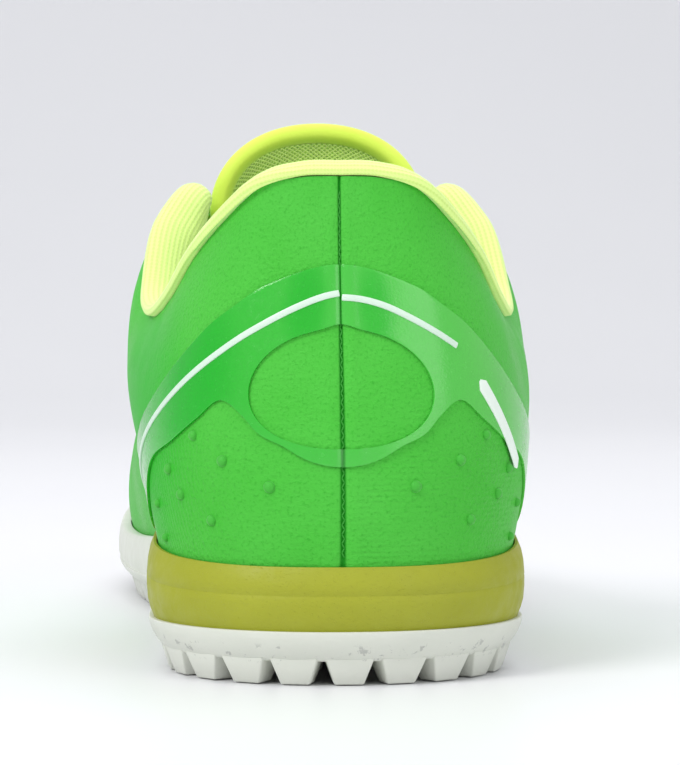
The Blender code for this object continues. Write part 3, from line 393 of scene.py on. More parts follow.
# How far apart two points stand that give the wall's slope, as a share of its height or of one side's run
SLOPE_STEP = 0.003
# How many times a height is closed in on, and how many steps one side is walked in
HALVINGS = 22
ARC_STEPS = 300
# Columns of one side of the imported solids
COLUMNS = 32


@lru_cache(maxsize=None)
def wall_handles(loop):
    """The handles of one column of the wall, kept so that a fine sheet works each out once."""
    return wall_curve(loop)


def bezier(handles, t):
    """Point of a curve through its first and last handle, drawn by the two between."""
    s = 1 - t
    return handles[0] * s**3 + handles[1] * 3 * s * s * t + handles[2] * 3 * s * t * t + handles[3] * t**3


def wall_point(loop, rise):
    """Point of the upper's outer face: rise 0 to 1 runs from the sole's top line to the collar or ridge."""
    return bezier(wall_handles(loop), rise)


def wall_normal(loop, rise):
    """Direction out of the upper at a point of its outer face."""
    around = wall_point(loop + SLOPE_STEP, rise) - wall_point(loop - SLOPE_STEP, rise)
    return around.cross(wall_up(loop, rise)).normalized()


def wall_up(loop, rise):
    """Direction up the upper's section."""
    above = wall_point(loop, min(1.0, rise + SLOPE_STEP))
    below = wall_point(loop, max(0.0, rise - SLOPE_STEP))
    return (above - below).normalized()


def rise_at(loop, height):
    """How far up the wall a height above the floor is."""
    handles = wall_handles(loop)
    low, high = 0.0, 1.0
    for _ in range(HALVINGS):
        middle = (low + high) / 2
        if bezier(handles, middle).z < height:
            low = middle
        else:
            high = middle
    return (low + high) / 2


def arcs_along_wall():
    """Walking distance from the heel seam to each of many loop values, half way up the wall."""
    table = [0.0]
    for k in range(ARC_STEPS):
        stride = wall_point((k + 1) / ARC_STEPS, 0.5) - wall_point(k / ARC_STEPS, 0.5)
        table.append(table[-1] + stride.length)
    return table


def loop_of(arc):
    """Loop value at a walking distance from the heel seam, outer side positive."""
    distance = min(abs(arc), ARCS[-1])
    k = min(ARC_STEPS - 1, max(n for n in range(ARC_STEPS + 1) if ARCS[n] <= distance))
    loop = (k + (distance - ARCS[k]) / (ARCS[k + 1] - ARCS[k])) / ARC_STEPS
    return loop if arc >= 0 else -loop


def arc_of(loop):
    """Walking distance from the heel seam at a loop value, outer side positive."""
    side, place = side_and_place(loop)
    k = min(ARC_STEPS - 1, int(place * ARC_STEPS))
    return side * (ARCS[k] + (ARCS[k + 1] - ARCS[k]) * (place * ARC_STEPS - k))


def on_heel(arc, height, lift=0.0):
    """Point over the heel's skin at a walking distance from the seam and a height, with its relief."""
    loop = loop_of(arc)
    rise = rise_at(loop, height)
    return wall_point(loop, rise) + wall_normal(loop, rise) * (lift + skin_relief(arc))


def out_of_heel(arc, height):
    """Direction out of the heel's skin at a walking distance from the seam and a height."""
    loop = loop_of(arc)
    return wall_normal(loop, rise_at(loop, height))


def shift_to_frame():
    """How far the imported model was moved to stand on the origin, read from the insole's box."""
    columns = [k / COLUMNS for k in range(2 * COLUMNS)]
    edge = [outline(loop, upper_inset(loop) + UPPER_WALL + GAP) for loop in columns]
    floors = [level("footbed", loop) + GAP for loop in columns]
    low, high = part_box("insole")
    across = (low[0] + high[0]) / 2 - (min(p.x for p in edge) + max(p.x for p in edge)) / 2
    ahead = (low[1] + high[1]) / 2 - (min(p.y for p in edge) + max(p.y for p in edge)) / 2
    return Vector((across, ahead, low[2] - min(floors)))


ARCS = arcs_along_wall()
SHIFT = shift_to_frame()


# Ways of making pieces


# Points closer than this are one
MERGE = 0.00001
# A face of fewer square metres than this is too small to show which way it looks
SLIVER = 1e-9
# A flat tube's section is a circle's squared up by this power, and its tapered ends keep this share of it
TUBE_SQUARENESS = 0.7
TUBE_END_SIZE = 0.25


def deselect_all():
    """Leaves any edit, with nothing selected."""
    if bpy.context.object and bpy.context.object.mode != "OBJECT":
        bpy.ops.object.mode_set(mode="OBJECT")
    bpy.ops.object.select_all(action="DESELECT")


def work_on(piece):
    """Makes a piece the only one that is selected, and the one being worked on."""
    deselect_all()
    piece.select_set(True)
    bpy.context.view_layer.objects.active = piece


def laid_grid(name, columns, rows, place, lay=None):
    """A flat grid laid on a surface: place gives each column and row its point, lay its pattern place."""
    deselect_all()
    bpy.ops.mesh.primitive_grid_add(x_subdivisions=columns - 1, y_subdivisions=rows - 1, size=1)
    piece = bpy.context.object
    piece.name = name
    mesh = piece.data
    mesh.name = name
    flat = []
    for row in range(rows):
        for column in range(columns):
            flat.extend(place(column, row) + SHIFT)
    mesh.vertices.foreach_set("co", flat)
    if lay:
        lays = [lay(index % columns, index // columns) for index in range(columns * rows)]
        pattern = mesh.uv_layers.active.data
        for loop in mesh.loops:
            pattern[loop.index].uv = lays[loop.vertex_index]
    mesh.update()
    return piece


def sew_up(piece):
    """Joins doubled points and turns every face outwards."""
    work_on(piece)
    first = next(face for face in piece.data.polygons if face.area > SLIVER)
    centre, before = first.center.copy(), first.normal.copy()
    bpy.ops.object.mode_set(mode="EDIT")
    bpy.ops.mesh.select_all(action="SELECT")
    bpy.ops.mesh.remove_doubles(threshold=MERGE)
    bpy.ops.mesh.dissolve_degenerate(threshold=MERGE / 2)
    bpy.ops.mesh.select_all(action="SELECT")
    bpy.ops.mesh.normals_make_consistent(inside=False)
    bpy.ops.object.mode_set(mode="OBJECT")
    nearest = min(piece.data.polygons, key=lambda face: (face.center - centre).length)
    if nearest.normal.dot(before) < 0:
        bpy.ops.object.mode_set(mode="EDIT")
        bpy.ops.mesh.select_all(action="SELECT")
        bpy.ops.mesh.flip_normals()
        bpy.ops.object.mode_set(mode="OBJECT")
    return piece


def apply_modifier(piece, kind, **values):
    """Adds one modifier to a piece and applies it."""
    work_on(piece)
    bpy.ops.object.modifier_add(type=kind)
    change = piece.modifiers[-1]
    for key, value in values.items():
        setattr(change, key, value)
    bpy.ops.object.modifier_apply(modifier=change.name)


def thicken(piece, thickness):
    """Gives a sheet its wall, outwards from where it lies."""
    apply_modifier(piece, "SOLIDIFY", thickness=thickness, offset=1)


def soften_edges(piece, width, sharper_than):
    """Rounds the edges that turn by more than an angle, in degrees."""
    angle = math.radians(sharper_than)
    apply_modifier(piece, "BEVEL", width=width, segments=2, limit_method="ANGLE", angle_limit=angle)


def finished(piece, finish, angle=40):
    """Finish, smooth shading and the body that a piece rides on."""
    work_on(piece)
    bpy.ops.object.shade_smooth_by_angle(angle=math.radians(angle))
    if not piece.data.materials:
        piece.data.materials.append(finish)
    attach(piece, "root")
    return piece


def joined(name, pieces):
    """Several pieces made one."""
    deselect_all()
    for piece in pieces:
        piece.select_set(True)
    bpy.context.view_layer.objects.active = pieces[0]
    bpy.ops.object.join()
    one = bpy.context.object
    one.name = name
    one.data.name = name
    return one


def evened_out(path, times):
    """A line of points with its bends eased, its two ends kept."""
    for _ in range(times):
        eased = [(a + b * 2 + c) / 4 for a, b, c in zip(path, path[1:], path[2:])]
        path = [path[0], *eased, path[-1]]
    return path


def walked(points):
    """Walking distance along a line of points at each of them."""
    lengths = [0.0]
    for a, b in zip(points, points[1:]):
        lengths.append(lengths[-1] + (b - a).length)
    return lengths


def tube_along(name, path, outs, wide, thick, around, tapered=0.0):
    """A closed bar of rounded flat section along a path. Its pattern runs along it, in metres."""
    count = len(path)
    travelled = walked(path)

    def place(column, row):
        k = min(max(row - 1, 0), count - 1)
        ahead = (path[min(k + 1, count - 1)] - path[max(k - 1, 0)]).normalized()
        side = ahead.cross(outs[k]).normalized()
        up = side.cross(ahead).normalized()
        if row in (0, count + 1):
            return path[k]
        near_end = min(travelled[k], travelled[-1] - travelled[k])
        size = max(min(1.0, near_end / tapered) ** 0.5, TUBE_END_SIZE) if tapered else 1.0
        angle = 2 * math.pi * (column % around) / around
        x = math.copysign(abs(math.cos(angle)) ** TUBE_SQUARENESS, math.cos(angle))
        z = math.copysign(abs(math.sin(angle)) ** TUBE_SQUARENESS, math.sin(angle))
        return path[k] + side * x * wide / 2 * size + up * z * thick / 2 * size

    def lay(column, row):
        k = min(max(row - 1, 0), count - 1)
        return travelled[k], column / around

    piece = laid_grid(name, around + 1, count + 2, place, lay)
    return sew_up(piece)


# Relief of the skin

Dome = namedtuple("Dome", "arc height radius")
DOMES = [
    Dome(0.0123, 0.0374, 0.00115),
    Dome(0.0220, 0.0421, 0.00110),
    Dome(0.0300, 0.0467, 0.00100),
    Dome(0.0385, 0.0400, 0.00105),
    Dome(0.0335, 0.0353, 0.00110),
    Dome(0.0245, 0.0307, 0.00105),
    Dome(0.0455, 0.0330, 0.00095),
    Dome(0.0430, 0.0265, 0.00090),
]
DOME_HEIGHT = 0.00090

SEAM_DEPTH = 0.00040
SEAM_HALF = 0.00038
LIP_HEIGHT = 0.00026
LIP_ARC = 0.0022
LIP_HALF = 0.0015
SEAM_REACH = 0.075

# Where a flex fold meets the vamp's ridge, how deep it is, and how far forward its foot leans
Crease = namedtuple("Crease", "place depth lean")
CREASES = [
    Crease(0.665, 0.00035, 0.030),
    Crease(0.700, 0.00050, 0.036),
    Crease(0.742, 0.00045, 0.040),
]
CREASE_START = 0.60
CREASE_END = 0.86
CREASE_HALF = 0.0085
CREASE_INNER_LEAN = 0.6
# A fold dies away down the side between these rises
CREASE_FOOT = 0.12
CREASE_FULL = 0.40
SWELL_AHEAD = 0.015
SWELL_HALF = 0.010
SWELL_SHARE = 0.7


def hill(away, half):
    """A smooth hill: 1 at its middle, falling off over its half width."""
    return math.exp(-((away / half) ** 2))


def skin_relief(arc):
    """How far the skin stands proud at the sunk seam and its soft lips."""
    if abs(arc) > SEAM_REACH:
        return 0.0
    return LIP_HEIGHT * hill(abs(arc) - LIP_ARC, LIP_HALF) - SEAM_DEPTH * hill(arc, SEAM_HALF)


def vamp_creases(loop, rise):
    """Shallow flex folds across the forefoot, each with a low swell ahead of it."""
    side, place = side_and_place(loop)
    if not CREASE_START < place < CREASE_END:
        return 0.0
    fold = 0.0
    for crease in CREASES:
        lean = crease.lean * (1.0 if side > 0 else CREASE_INNER_LEAN)
        away = place - (crease.place + lean * (1 - rise))
        swell = SWELL_SHARE * hill(away - SWELL_AHEAD, SWELL_HALF)
        fold += crease.depth * (swell - hill(away, CREASE_HALF))
    return fold * smoothstep(CREASE_FOOT, CREASE_FULL, rise)


# The upper, with its columns closest at the seam, then round the heel, then along the throat

SEAM_BAND = 0.0022
HEEL_BAND = 0.052
SEAM_STEP = 0.00028
HEEL_STEP = 0.00070
THROAT_STEP = 0.0016
PLAIN_STEP = 0.0024
THROAT_BAND_START = 0.43
THROAT_BAND_END = 0.76
# The toe's own column has no other nearer than this
TOE_SPACE = 0.0008
SKIN_ROWS = 84
TINY = 0.000001

# The vamp's ridge is rubbed down from this share of the length on, this far over the sole's edge and up,
# and this far to each side
RIDGE_START = 0.590
RIDGE_FLOOR = 0.010
RIDGE_REACH = 0.022
RIDGE_RUBS = 140


def upper_places():
    """Places of the skin's columns on one side."""
    arc, places = 0.0, []
    while arc < ARCS[-1] - TOE_SPACE:
        places.append(loop_of(arc))
        if arc < SEAM_BAND:
            arc += SEAM_STEP
        elif arc < HEEL_BAND:
            arc += HEEL_STEP
        elif THROAT_BAND_START < places[-1] < THROAT_BAND_END:
            arc += THROAT_STEP
        else:
            arc += PLAIN_STEP
    places.append(1.0)
    nearest = min(range(len(places)), key=lambda k: abs(places[k] - THROAT_END))
    places[nearest] = THROAT_END
    return places


def round_trip(places):
    """Loop values all the way round, from the heel out to the toe and back along the inner side."""
    return places + [2 - place for place in places[-2::-1]]


def skin_point(loop, rise):
    """Point of the upper's skin, with its relief."""
    relief = skin_relief(arc_of(loop)) + vamp_creases(loop, rise)
    return wall_point(loop, rise) + wall_normal(loop, rise) * relief


def make_upper(skin, lining):
    """The skin, from under the footbed to the collar and the ridge, with its lining inside."""
    places = upper_places()
    # The toe's column comes twice, once for each side, so that the pattern of neither runs into the other
    loops = places + [1 + TINY] + round_trip(places)[len(places):]

    def place(column, row):
        loop = loops[column]
        if row == 0:
            foot = outline(loop, upper_inset(loop))
            return Vector((foot.x, foot.y, level("footbed", loop) + GAP))
        rise = (row - 1) / SKIN_ROWS
        if side_and_place(loop)[1] >= THROAT_END and row == SKIN_ROWS + 1:
            return wall_point(loop, rise)
        return skin_point(loop, rise)

    def lay(column, row):
        loop = loops[column]
        return arc_of(loop), wall_point(loop, max(0, row - 1) / SKIN_ROWS).z

    piece = sew_up(laid_grid("upper_skin", len(loops), SKIN_ROWS + 2, place, lay))
    soften_ridge(piece)
    piece.data.materials.append(skin)
    piece.data.materials.append(lining)
    apply_modifier(piece, "SOLIDIFY", thickness=UPPER_WALL, offset=-1, material_offset=1)
    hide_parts("upper")
    return piece


def soften_ridge(piece):
    """Rubs down the line along which the two halves of the vamp meet."""
    select_only(piece, "VERT", [])
    start = SOLE_LENGTH * RIDGE_START + SHIFT.y
    floor = SHIFT.z + SIDE_TOE_TOP + RIDGE_FLOOR
    for vertex in piece.data.vertices:
        middle = ridge_table.read("shift", (vertex.co.y - SHIFT.y) / SOLE_LENGTH) + SHIFT.x
        near = abs(vertex.co.x - middle) < RIDGE_REACH
        vertex.select = near and vertex.co.y > start and vertex.co.z > floor
    bpy.ops.object.mode_set(mode="EDIT")
    bpy.ops.mesh.vertices_smooth(factor=0.5, repeat=RIDGE_RUBS)
    bpy.ops.object.mode_set(mode="OBJECT")


def select_only(piece, mode, faces):
    """Works on a piece with nothing selected in it but the given faces."""
    work_on(piece)
    bpy.ops.object.mode_set(mode="EDIT")
    bpy.ops.mesh.select_mode(type=mode)
    bpy.ops.mesh.select_all(action="DESELECT")
    bpy.ops.object.mode_set(mode="OBJECT")
    for index in faces:
        piece.data.polygons[index].select = True


# The film round the heel, its edges by walking distance from the seam

FilmEdge = namedtuple("FilmEdge", "arc low high")
FILM_EDGES = [
    FilmEdge(0.000, 0.0412, 0.0790),
    FilmEdge(0.006, 0.0426, 0.0784),
    FilmEdge(0.010, 0.0450, 0.0774),
    FilmEdge(0.015, 0.0476, 0.0757),
    FilmEdge(0.018, 0.0505, 0.0745),
    FilmEdge(0.0235, 0.0535, 0.0712),
    FilmEdge(0.029, 0.0500, 0.0680),
    FilmEdge(0.036, 0.0460, 0.0627),
    FilmEdge(0.048, 0.0410, 0.0540),
    FilmEdge(0.060, 0.0290, 0.0475),
    FilmEdge(0.074, 0.0262, 0.0405),
    FilmEdge(0.090, 0.0262, 0.0330),
    FilmEdge(0.104, 0.0262, 0.0268),
]
OVAL_HALF = 0.0175
OVAL_TALL = 0.0112
OVAL_MIDDLE = 0.0557
OVAL_POWER = 2.15
OVAL_POINT = 0.0009
OVAL_POINT_HALF = 0.0030
# The film's edges meet again this far past the window's ends
OVAL_PASSED = 0.016
OVAL_COLUMNS = 44
FILM_ROWS = 26
FILM_STEP = 0.00075
FILM_LIFT = 0.00050
# The film's last column but one is no nearer to its end than this
FILM_END_SPACE = 0.0010
FILM_EDGE_ROUND = 0.00022
# How far over the skin a sheet starts that is laid on it
SEAT = 0.00005


def oval_height(arc, upwards):
    """Edge of the oval window above or below its middle, slightly pointed at the top."""
    away = min(1.0, abs(arc) / OVAL_HALF)
    reach = OVAL_TALL * math.sqrt(max(0.0, 1 - away**OVAL_POWER))
    if upwards:
        reach += OVAL_POINT * hill(arc, OVAL_POINT_HALF)
    return OVAL_MIDDLE + reach * (1 if upwards else -1)


def film_arcs():
    """Columns of the film: close together near the window's ends."""
    half = [OVAL_HALF * math.sin(math.pi / 2 * k / OVAL_COLUMNS) for k in range(OVAL_COLUMNS + 1)]
    arc = OVAL_HALF
    end = FILM_EDGES[-1].arc
    while arc < end - FILM_END_SPACE:
        arc += FILM_STEP if arc < HEEL_BAND else THROAT_STEP
        half.append(min(arc, end))
    half[-1] = end
    return [-arc for arc in half[:0:-1]] + half


def make_film():
    """The film: two halves, above and below the window, that are one past its ends."""
    arcs = film_arcs()
    edges = Table(FILM_EDGES, odd_end=("low", "high"))
    rows = FILM_ROWS

    def height_of(arc, row):
        low, high = edges.read("low", abs(arc)), edges.read("high", abs(arc))
        if abs(arc) < OVAL_HALF:
            middles = oval_height(arc, False), oval_height(arc, True)
        else:
            away = smoothstep(OVAL_HALF, OVAL_HALF + OVAL_PASSED, abs(arc))
            middle = OVAL_MIDDLE + ((low + high) / 2 - OVAL_MIDDLE) * away
            middles = middle, middle
        if row < rows:
            return low + (middles[0] - low) * row / (rows - 1)
        return middles[1] + (high - middles[1]) * (row - rows) / (rows - 1)

    def place(column, row):
        arc = arcs[column]
        return on_heel(arc, height_of(arc, row), SEAT)

    def lay(column, row):
        arc = arcs[column]
        return arc, height_of(arc, row)

    piece = laid_grid("heel_film_skin", len(arcs), 2 * rows, place, lay)
    open_window(piece, len(arcs), rows)
    sew_up(piece)
    thicken(piece, FILM_LIFT)
    soften_edges(piece, FILM_EDGE_ROUND, 50)
    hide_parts("heel_film")
    return piece


def open_window(piece, columns, rows):
    """Takes away the band of faces between the film's lower and upper halves."""
    band = columns - 1
    select_only(piece, "FACE", range(band * (rows - 1), band * rows))
    bpy.ops.object.mode_set(mode="EDIT")
    bpy.ops.mesh.delete(type="ONLY_FACE")
    bpy.ops.object.mode_set(mode="OBJECT")


# The padded collar

# Levels of the wall that the padding hangs down to, and how full it is at each
PadRow = namedtuple("PadRow", "rise full")
PADDING = [
    PadRow(6 / 7, 1.00),
    PadRow(5 / 7, 0.92),
    PadRow(4 / 7, 0.65),
    PadRow(3 / 7, 0.28),
]
COLLAR_STEP = 0.0011
COLLAR_SMOOTHING = 3
# The point of the smoothed section that lies on the outer edge of the roll, where its pattern starts
COLLAR_EDGE_POINT = 18
# How far the ends stay back from the throat, and how much smaller the last ring before an end is
COLLAR_END_GAP = 0.0006
COLLAR_END_SIZE = 0.80


def collar_section(loop):
    """Closed section of the padded collar: up behind the wall, over its top edge and down inside."""
    _, place = side_and_place(loop)
    swell = 1 + 0.35 * smoothstep(0.25, COLLAR_END, place)
    pad = COLLAR_PAD * swell * (1 - 0.45 * smoothstep(COLLAR_END - 0.04, COLLAR_END, place))
    back = UPPER_WALL + 2 * GAP * (1 + smoothstep(0.25, COLLAR_END - 0.05, place))
    top = wall_point(loop, 1.0)
    inward = -wall_normal(loop, 1.0)
    along_edge = wall_point(loop + 0.004, 1.0) - wall_point(loop - 0.004, 1.0)
    lift = inward.cross(along_edge).normalized()
    lift = lift if lift.z > 0 else -lift
    points = []
    for row in reversed(PADDING):
        points.append(wall_point(loop, row.rise) - wall_normal(loop, row.rise) * back)
    points.append(top + inward * back + lift * 2 * GAP)
    slope = smoothstep(0.04, 0.12, place) * (1 - smoothstep(COLLAR_END - 0.05, COLLAR_END, place))
    points.append(top - inward * (0.0002 + 0.0009 * slope) + lift * (0.0002 - 0.0008 * slope))
    points.append(top - inward * (0.0006 + 0.0012 * slope) + lift * 0.45 * COLLAR_ROLL)
    points.append(top + inward * 0.0015 + lift * COLLAR_ROLL)
    points.append(top + inward * (back + 0.55 * pad) + lift * 0.85 * COLLAR_ROLL)
    points.append(top + inward * (back + pad) - lift * 0.0020)
    for row in PADDING:
        points.append(wall_point(loop, row.rise) - wall_normal(loop, row.rise) * (back + pad * row.full))
    return points


def rounded_section(points, steps):
    """A smooth closed line through the points, cut in steps between each two."""
    count = len(points)
    line = []
    for k in range(count):
        before, start, end, after = (points[(k + shift) % count] for shift in (-1, 0, 1, 2))
        for n in range(steps):
            t = n / steps
            straight = (end - before) * t
            bent = (before * 2 - start * 5 + end * 4 - after) * t * t
            twisted = (start * 3 - before - end * 3 + after) * t**3
            line.append(start + (straight + bent + twisted) / 2)
    return line


def walk_round(section):
    """Walking distance round a closed section from its edge point, at each point and back at the first."""
    walk = walked(section + section[:1])
    edge = walk[COLLAR_EDGE_POINT]
    return [distance - edge for distance in walk]


def make_collar():
    """The padded collar, closed at both ends."""
    arc_end = arc_of(COLLAR_END - COLLAR_END_GAP)
    count = int(2 * arc_end / COLLAR_STEP)
    loops = [loop_of(-arc_end + 2 * arc_end * k / count) for k in range(count + 1)]
    sections = [rounded_section(collar_section(loop), COLLAR_SMOOTHING) for loop in loops]
    around = len(sections[0])
    middles = [sum(section, Vector()) / around for section in sections]
    walks = [walk_round(section) for section in sections]

    def place(column, row):
        k = min(max(column - 2, 0), count)
        point = sections[k][row % around]
        if column in (0, count + 4):
            return middles[k].copy()
        if column in (1, count + 3):
            return middles[k] + (point - middles[k]) * COLLAR_END_SIZE
        return point

    def lay(column, row):
        k = min(max(column - 2, 0), count)
        return arc_of(loops[k]), walks[k][row]

    piece = sew_up(laid_grid("collar_knit", count + 5, around + 1, place, lay))
    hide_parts("collar_lining")
    return piece


# The tongue

TONGUE_BEND = math.radians(78)
TONGUE_FAN = math.radians(55)
TONGUE_EDGE_THINNING = 0.45
TONGUE_COLUMNS = 44
TONGUE_ROWS = 70
TONGUE_BACK_SHARE = 0.97
# Metres of pattern for each column and each row
TONGUE_COLUMN_LAY = 0.0013
TONGUE_ROW_LAY = 0.0017
# How much of its thickness the tongue has at its front end, and by what share of its length it is whole
TONGUE_FRONT_THIN = 0.45
TONGUE_WHOLE = 0.5
RIM_START = 0.42
RIM_ACROSS = 0.985
RIM_SIDE_STEPS = 26
RIM_TOP_STEPS = 60
RIM_SMOOTHING = 6
RIM_WIDTH = 0.0064
RIM_THICKNESS = 0.0040
RIM_TAPER = 0.006


def tongue_thinning(across):
    """How much of its thickness the tongue keeps towards its side edges."""
    return 1 - TONGUE_EDGE_THINNING * abs(across) ** 3


def tongue_point(share_up, across, depth):
    """Point of the tongue: share_up runs from under the vamp to its top, across from -1 to 1."""
    corner = TONGUE_CORNER * abs(across) ** 3
    at = share_up * (1 - corner)
    half = tongue_table.read("half", at)
    sag = tongue_table.read("sag", at)
    y, z = tongue_table.read("y", at), tongue_table.read("z", at)
    away = Vector((0, math.cos(TONGUE_LEAN), math.sin(TONGUE_LEAN)))
    shift = ridge_table.read("shift", y / SOLE_LENGTH)
    bend = (1 - math.cos(across * TONGUE_BEND)) / (1 - math.cos(TONGUE_BEND))
    wide = math.sin(across * TONGUE_BEND) / math.sin(TONGUE_BEND)
    out = away * math.cos(across * TONGUE_FAN) + Vector((math.sin(across * TONGUE_FAN), 0, 0))
    return Vector((shift + half * wide, y, z)) - away * sag * bend - out.normalized() * depth


def make_tongue():
    """The tongue's padded body: across its front, back along its underside, and closed at both ends."""
    across_steps, up_steps = TONGUE_COLUMNS, TONGUE_ROWS

    def place(column, row):
        share_up = row / up_steps
        if column <= across_steps:
            return tongue_point(share_up, 2 * column / across_steps - 1, 0.0)
        if column == 2 * across_steps + 2:
            return tongue_point(share_up, -1.0, 0.0)
        across = 1 - 2 * (column - across_steps - 1) / across_steps
        thin = TONGUE_FRONT_THIN + (1 - TONGUE_FRONT_THIN) * smoothstep(0.0, TONGUE_WHOLE, share_up)
        depth = TONGUE_THICKNESS * thin * tongue_thinning(across)
        return tongue_point(share_up, across * TONGUE_BACK_SHARE, depth)

    def lay(column, row):
        return column * TONGUE_COLUMN_LAY, row * TONGUE_ROW_LAY

    piece = laid_grid("tongue_mesh", 2 * across_steps + 3, up_steps + 1, place, lay)
    close_ends(piece)
    sew_up(piece)
    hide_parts("tongue")
    return piece


def close_ends(piece):
    """Closes a flattened tube's two open ends with a strip of faces each."""
    work_on(piece)
    bpy.ops.object.mode_set(mode="EDIT")
    bpy.ops.mesh.select_all(action="SELECT")
    bpy.ops.mesh.remove_doubles(threshold=MERGE)
    bpy.ops.mesh.select_all(action="DESELECT")
    bpy.ops.mesh.select_mode(type="EDGE")
    bpy.ops.mesh.select_non_manifold()
    bpy.ops.mesh.fill_grid(span=1)
    bpy.ops.object.mode_set(mode="OBJECT")


def make_tongue_rim():
    """The bound edge of the tongue: a soft roll up one side, over the top and down the other."""
    path, outs = [], []
    rises = [RIM_START + (1 - RIM_START) * k / RIM_SIDE_STEPS for k in range(RIM_SIDE_STEPS)]
    places = [(rise, -1.0) for rise in rises]
    places += [(1.0, 2 * k / RIM_TOP_STEPS - 1) for k in range(RIM_TOP_STEPS + 1)]
    places += [(rise, 1.0) for rise in reversed(rises)]
    for share_up, across in places:
        face = tongue_point(share_up, across * RIM_ACROSS, 0.0)
        depth = 0.5 * TONGUE_THICKNESS * tongue_thinning(across)
        centre = tongue_point(share_up, across * RIM_ACROSS, depth)
        path.append(centre)
        outs.append((face - centre).normalized())
    path = evened_out(path, RIM_SMOOTHING)
    return tube_along("tongue_rim", path, outs, RIM_WIDTH, RIM_THICKNESS, around=18, tapered=RIM_TAPER)


# The sole

SOLE_STEP = 0.0024
INSOLE_STEP = 0.0036
SOLE_EDGE = 0.0004
# A wall of the cup lower than this isn't there
NO_WALL = 0.00001
# How far the foam's underside sinks in the rubber
FOAM_SINK = 0.0001


def filled_sheet(name, loops, column_of, centre_steps=6):
    """A closed block from columns of points, its floor and its top filled in towards its middle line."""
    columns = [column_of(loop) for loop in loops]
    rings = len(columns[0])

    def middle(column, ring):
        """The point half way to the column straight across, which the two sides share."""
        here, across = columns[column][ring], columns[-1 - column][ring]
        return (here + across) / 2

    def place(column, row):
        points = columns[column]
        if row < centre_steps:
            return points[0].lerp(middle(column, 0), 1 - row / centre_steps)
        if row >= centre_steps + rings:
            return points[-1].lerp(middle(column, -1), (row - centre_steps - rings + 1) / centre_steps)
        return points[row - centre_steps]

    def lay(column, row):
        points = columns[column]
        k = min(max(row - centre_steps, 0), rings - 1)
        return arc_of(loops[column]), points[k].z

    piece = laid_grid(name, len(loops), rings + 2 * centre_steps, place, lay)
    return sew_up(piece)


def sole_loops(step):
    """Loop values round the sole about a step apart."""
    count = int(ARCS[-1] / step)
    return round_trip([k / count for k in range(count + 1)])


def cup_height(loop):
    """Height of the outsole's wall above the outsole's top edge."""
    full = level("side_top", loop) - level("outsole_top", loop)
    rise = smoothstep(0.04, CUP_FULL, share("cup", loop))
    return 0.1 * full + 0.9 * full * rise if rise > 0 else 0.0


def cup_inset(loop):
    """How far in the cup's inner face stands. Where there is no cup it is the outsole's own edge."""
    if cup_height(loop) < NO_WALL:
        return SOLE_EDGE
    thinnest = 0.3 * CUP_WALL
    return thinnest + (CUP_WALL - thinnest) * share("cup", loop)


def at_height(point, height):
    """A point of the plan, raised."""
    return Vector((point.x, point.y, height))


def outsole_column(loop):
    """One column round the outsole: up its side, up the cup's outer face, over its edge and down inside."""
    along = along_of(side_and_place(loop)[1])
    bottom = LUG_HEIGHT + spring(along)
    floor = level("outsole_top", loop)
    tall = cup_height(loop)
    cup = share("cup", loop)
    points = []
    for row in OUTSOLE_SIDE:
        points.append(at_height(outline(loop, row.tuck), bottom + (floor - bottom) * row.rise))
    for row in CUP_SIDE:
        edge = outline(loop, SOLE_EDGE + cup * (row.tuck - SOLE_EDGE))
        points.append(at_height(edge, floor + tall * row.rise))
    inner = outline(loop, cup_inset(loop))
    return points + [at_height(inner, floor + tall), at_height(inner, floor)]


def make_outsole():
    """The rubber sole with the cup that holds the forefoot."""
    piece = filled_sheet("outsole_rubber", sole_loops(SOLE_STEP), outsole_column)
    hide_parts("outsole")
    return piece


def midsole_column(loop):
    """One column round the midsole: up its side, over its lip where that stands, down to the footbed."""
    bottom = level("outsole_top", loop) - FOAM_SINK
    bed = level("footbed", loop)
    standing = 1.0 if share("cup", loop) < CUP_FULL else 0.0
    tall = (level("side_top", loop) - bed) * standing
    inset = GAP + (cup_inset(loop) if cup_height(loop) > NO_WALL else 0.0)
    bulge = 1 - share("cup", loop)
    lip = max(upper_inset(loop) - GAP - inset, GAP)
    points = []
    for row in MIDSOLE_SIDE:
        edge = outline(loop, inset + min(row.tuck * bulge, 0.6 * lip))
        points.append(at_height(edge, bottom + (bed + tall - bottom) * row.rise))
    inner = outline(loop, inset + lip)
    return points + [at_height(inner, bed + tall), at_height(inner, bed)]


def make_midsole():
    """The foam, with the band that shows round the heel."""
    piece = filled_sheet("midsole_foam", sole_loops(SOLE_STEP), midsole_column)
    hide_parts("midsole")
    return piece


def insole_column(loop):
    """One column round the insole, up its soft side."""
    bed = level("footbed", loop) + GAP
    inset = upper_inset(loop) + UPPER_WALL + GAP
    edges = [outline(loop, inset + row.tuck) for row in INSOLE_SIDE]
    return [at_height(edge, bed + INSOLE_THICKNESS * row.rise) for edge, row in zip(edges, INSOLE_SIDE)]


def make_insole():
    """The loose sock liner."""
    piece = filled_sheet("insole_sock", sole_loops(INSOLE_STEP), insole_column)
    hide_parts("insole")
    return piece


# Lugs

LugRow = namedtuple("LugRow", "along count turn")
INNER_LUGS = [
    LugRow(0.110, 4, 0.0),
    LugRow(0.180, 5, 0.0),
    LugRow(0.250, 4, 0.0),
    LugRow(0.530, 5, 0.1),
    LugRow(0.595, 6, 0.1),
    LugRow(0.660, 7, 0.1),
    LugRow(0.725, 6, 0.05),
    LugRow(0.790, 6, 0.0),
    LugRow(0.855, 5, 0.0),
    LugRow(0.915, 3, 0.0),
]

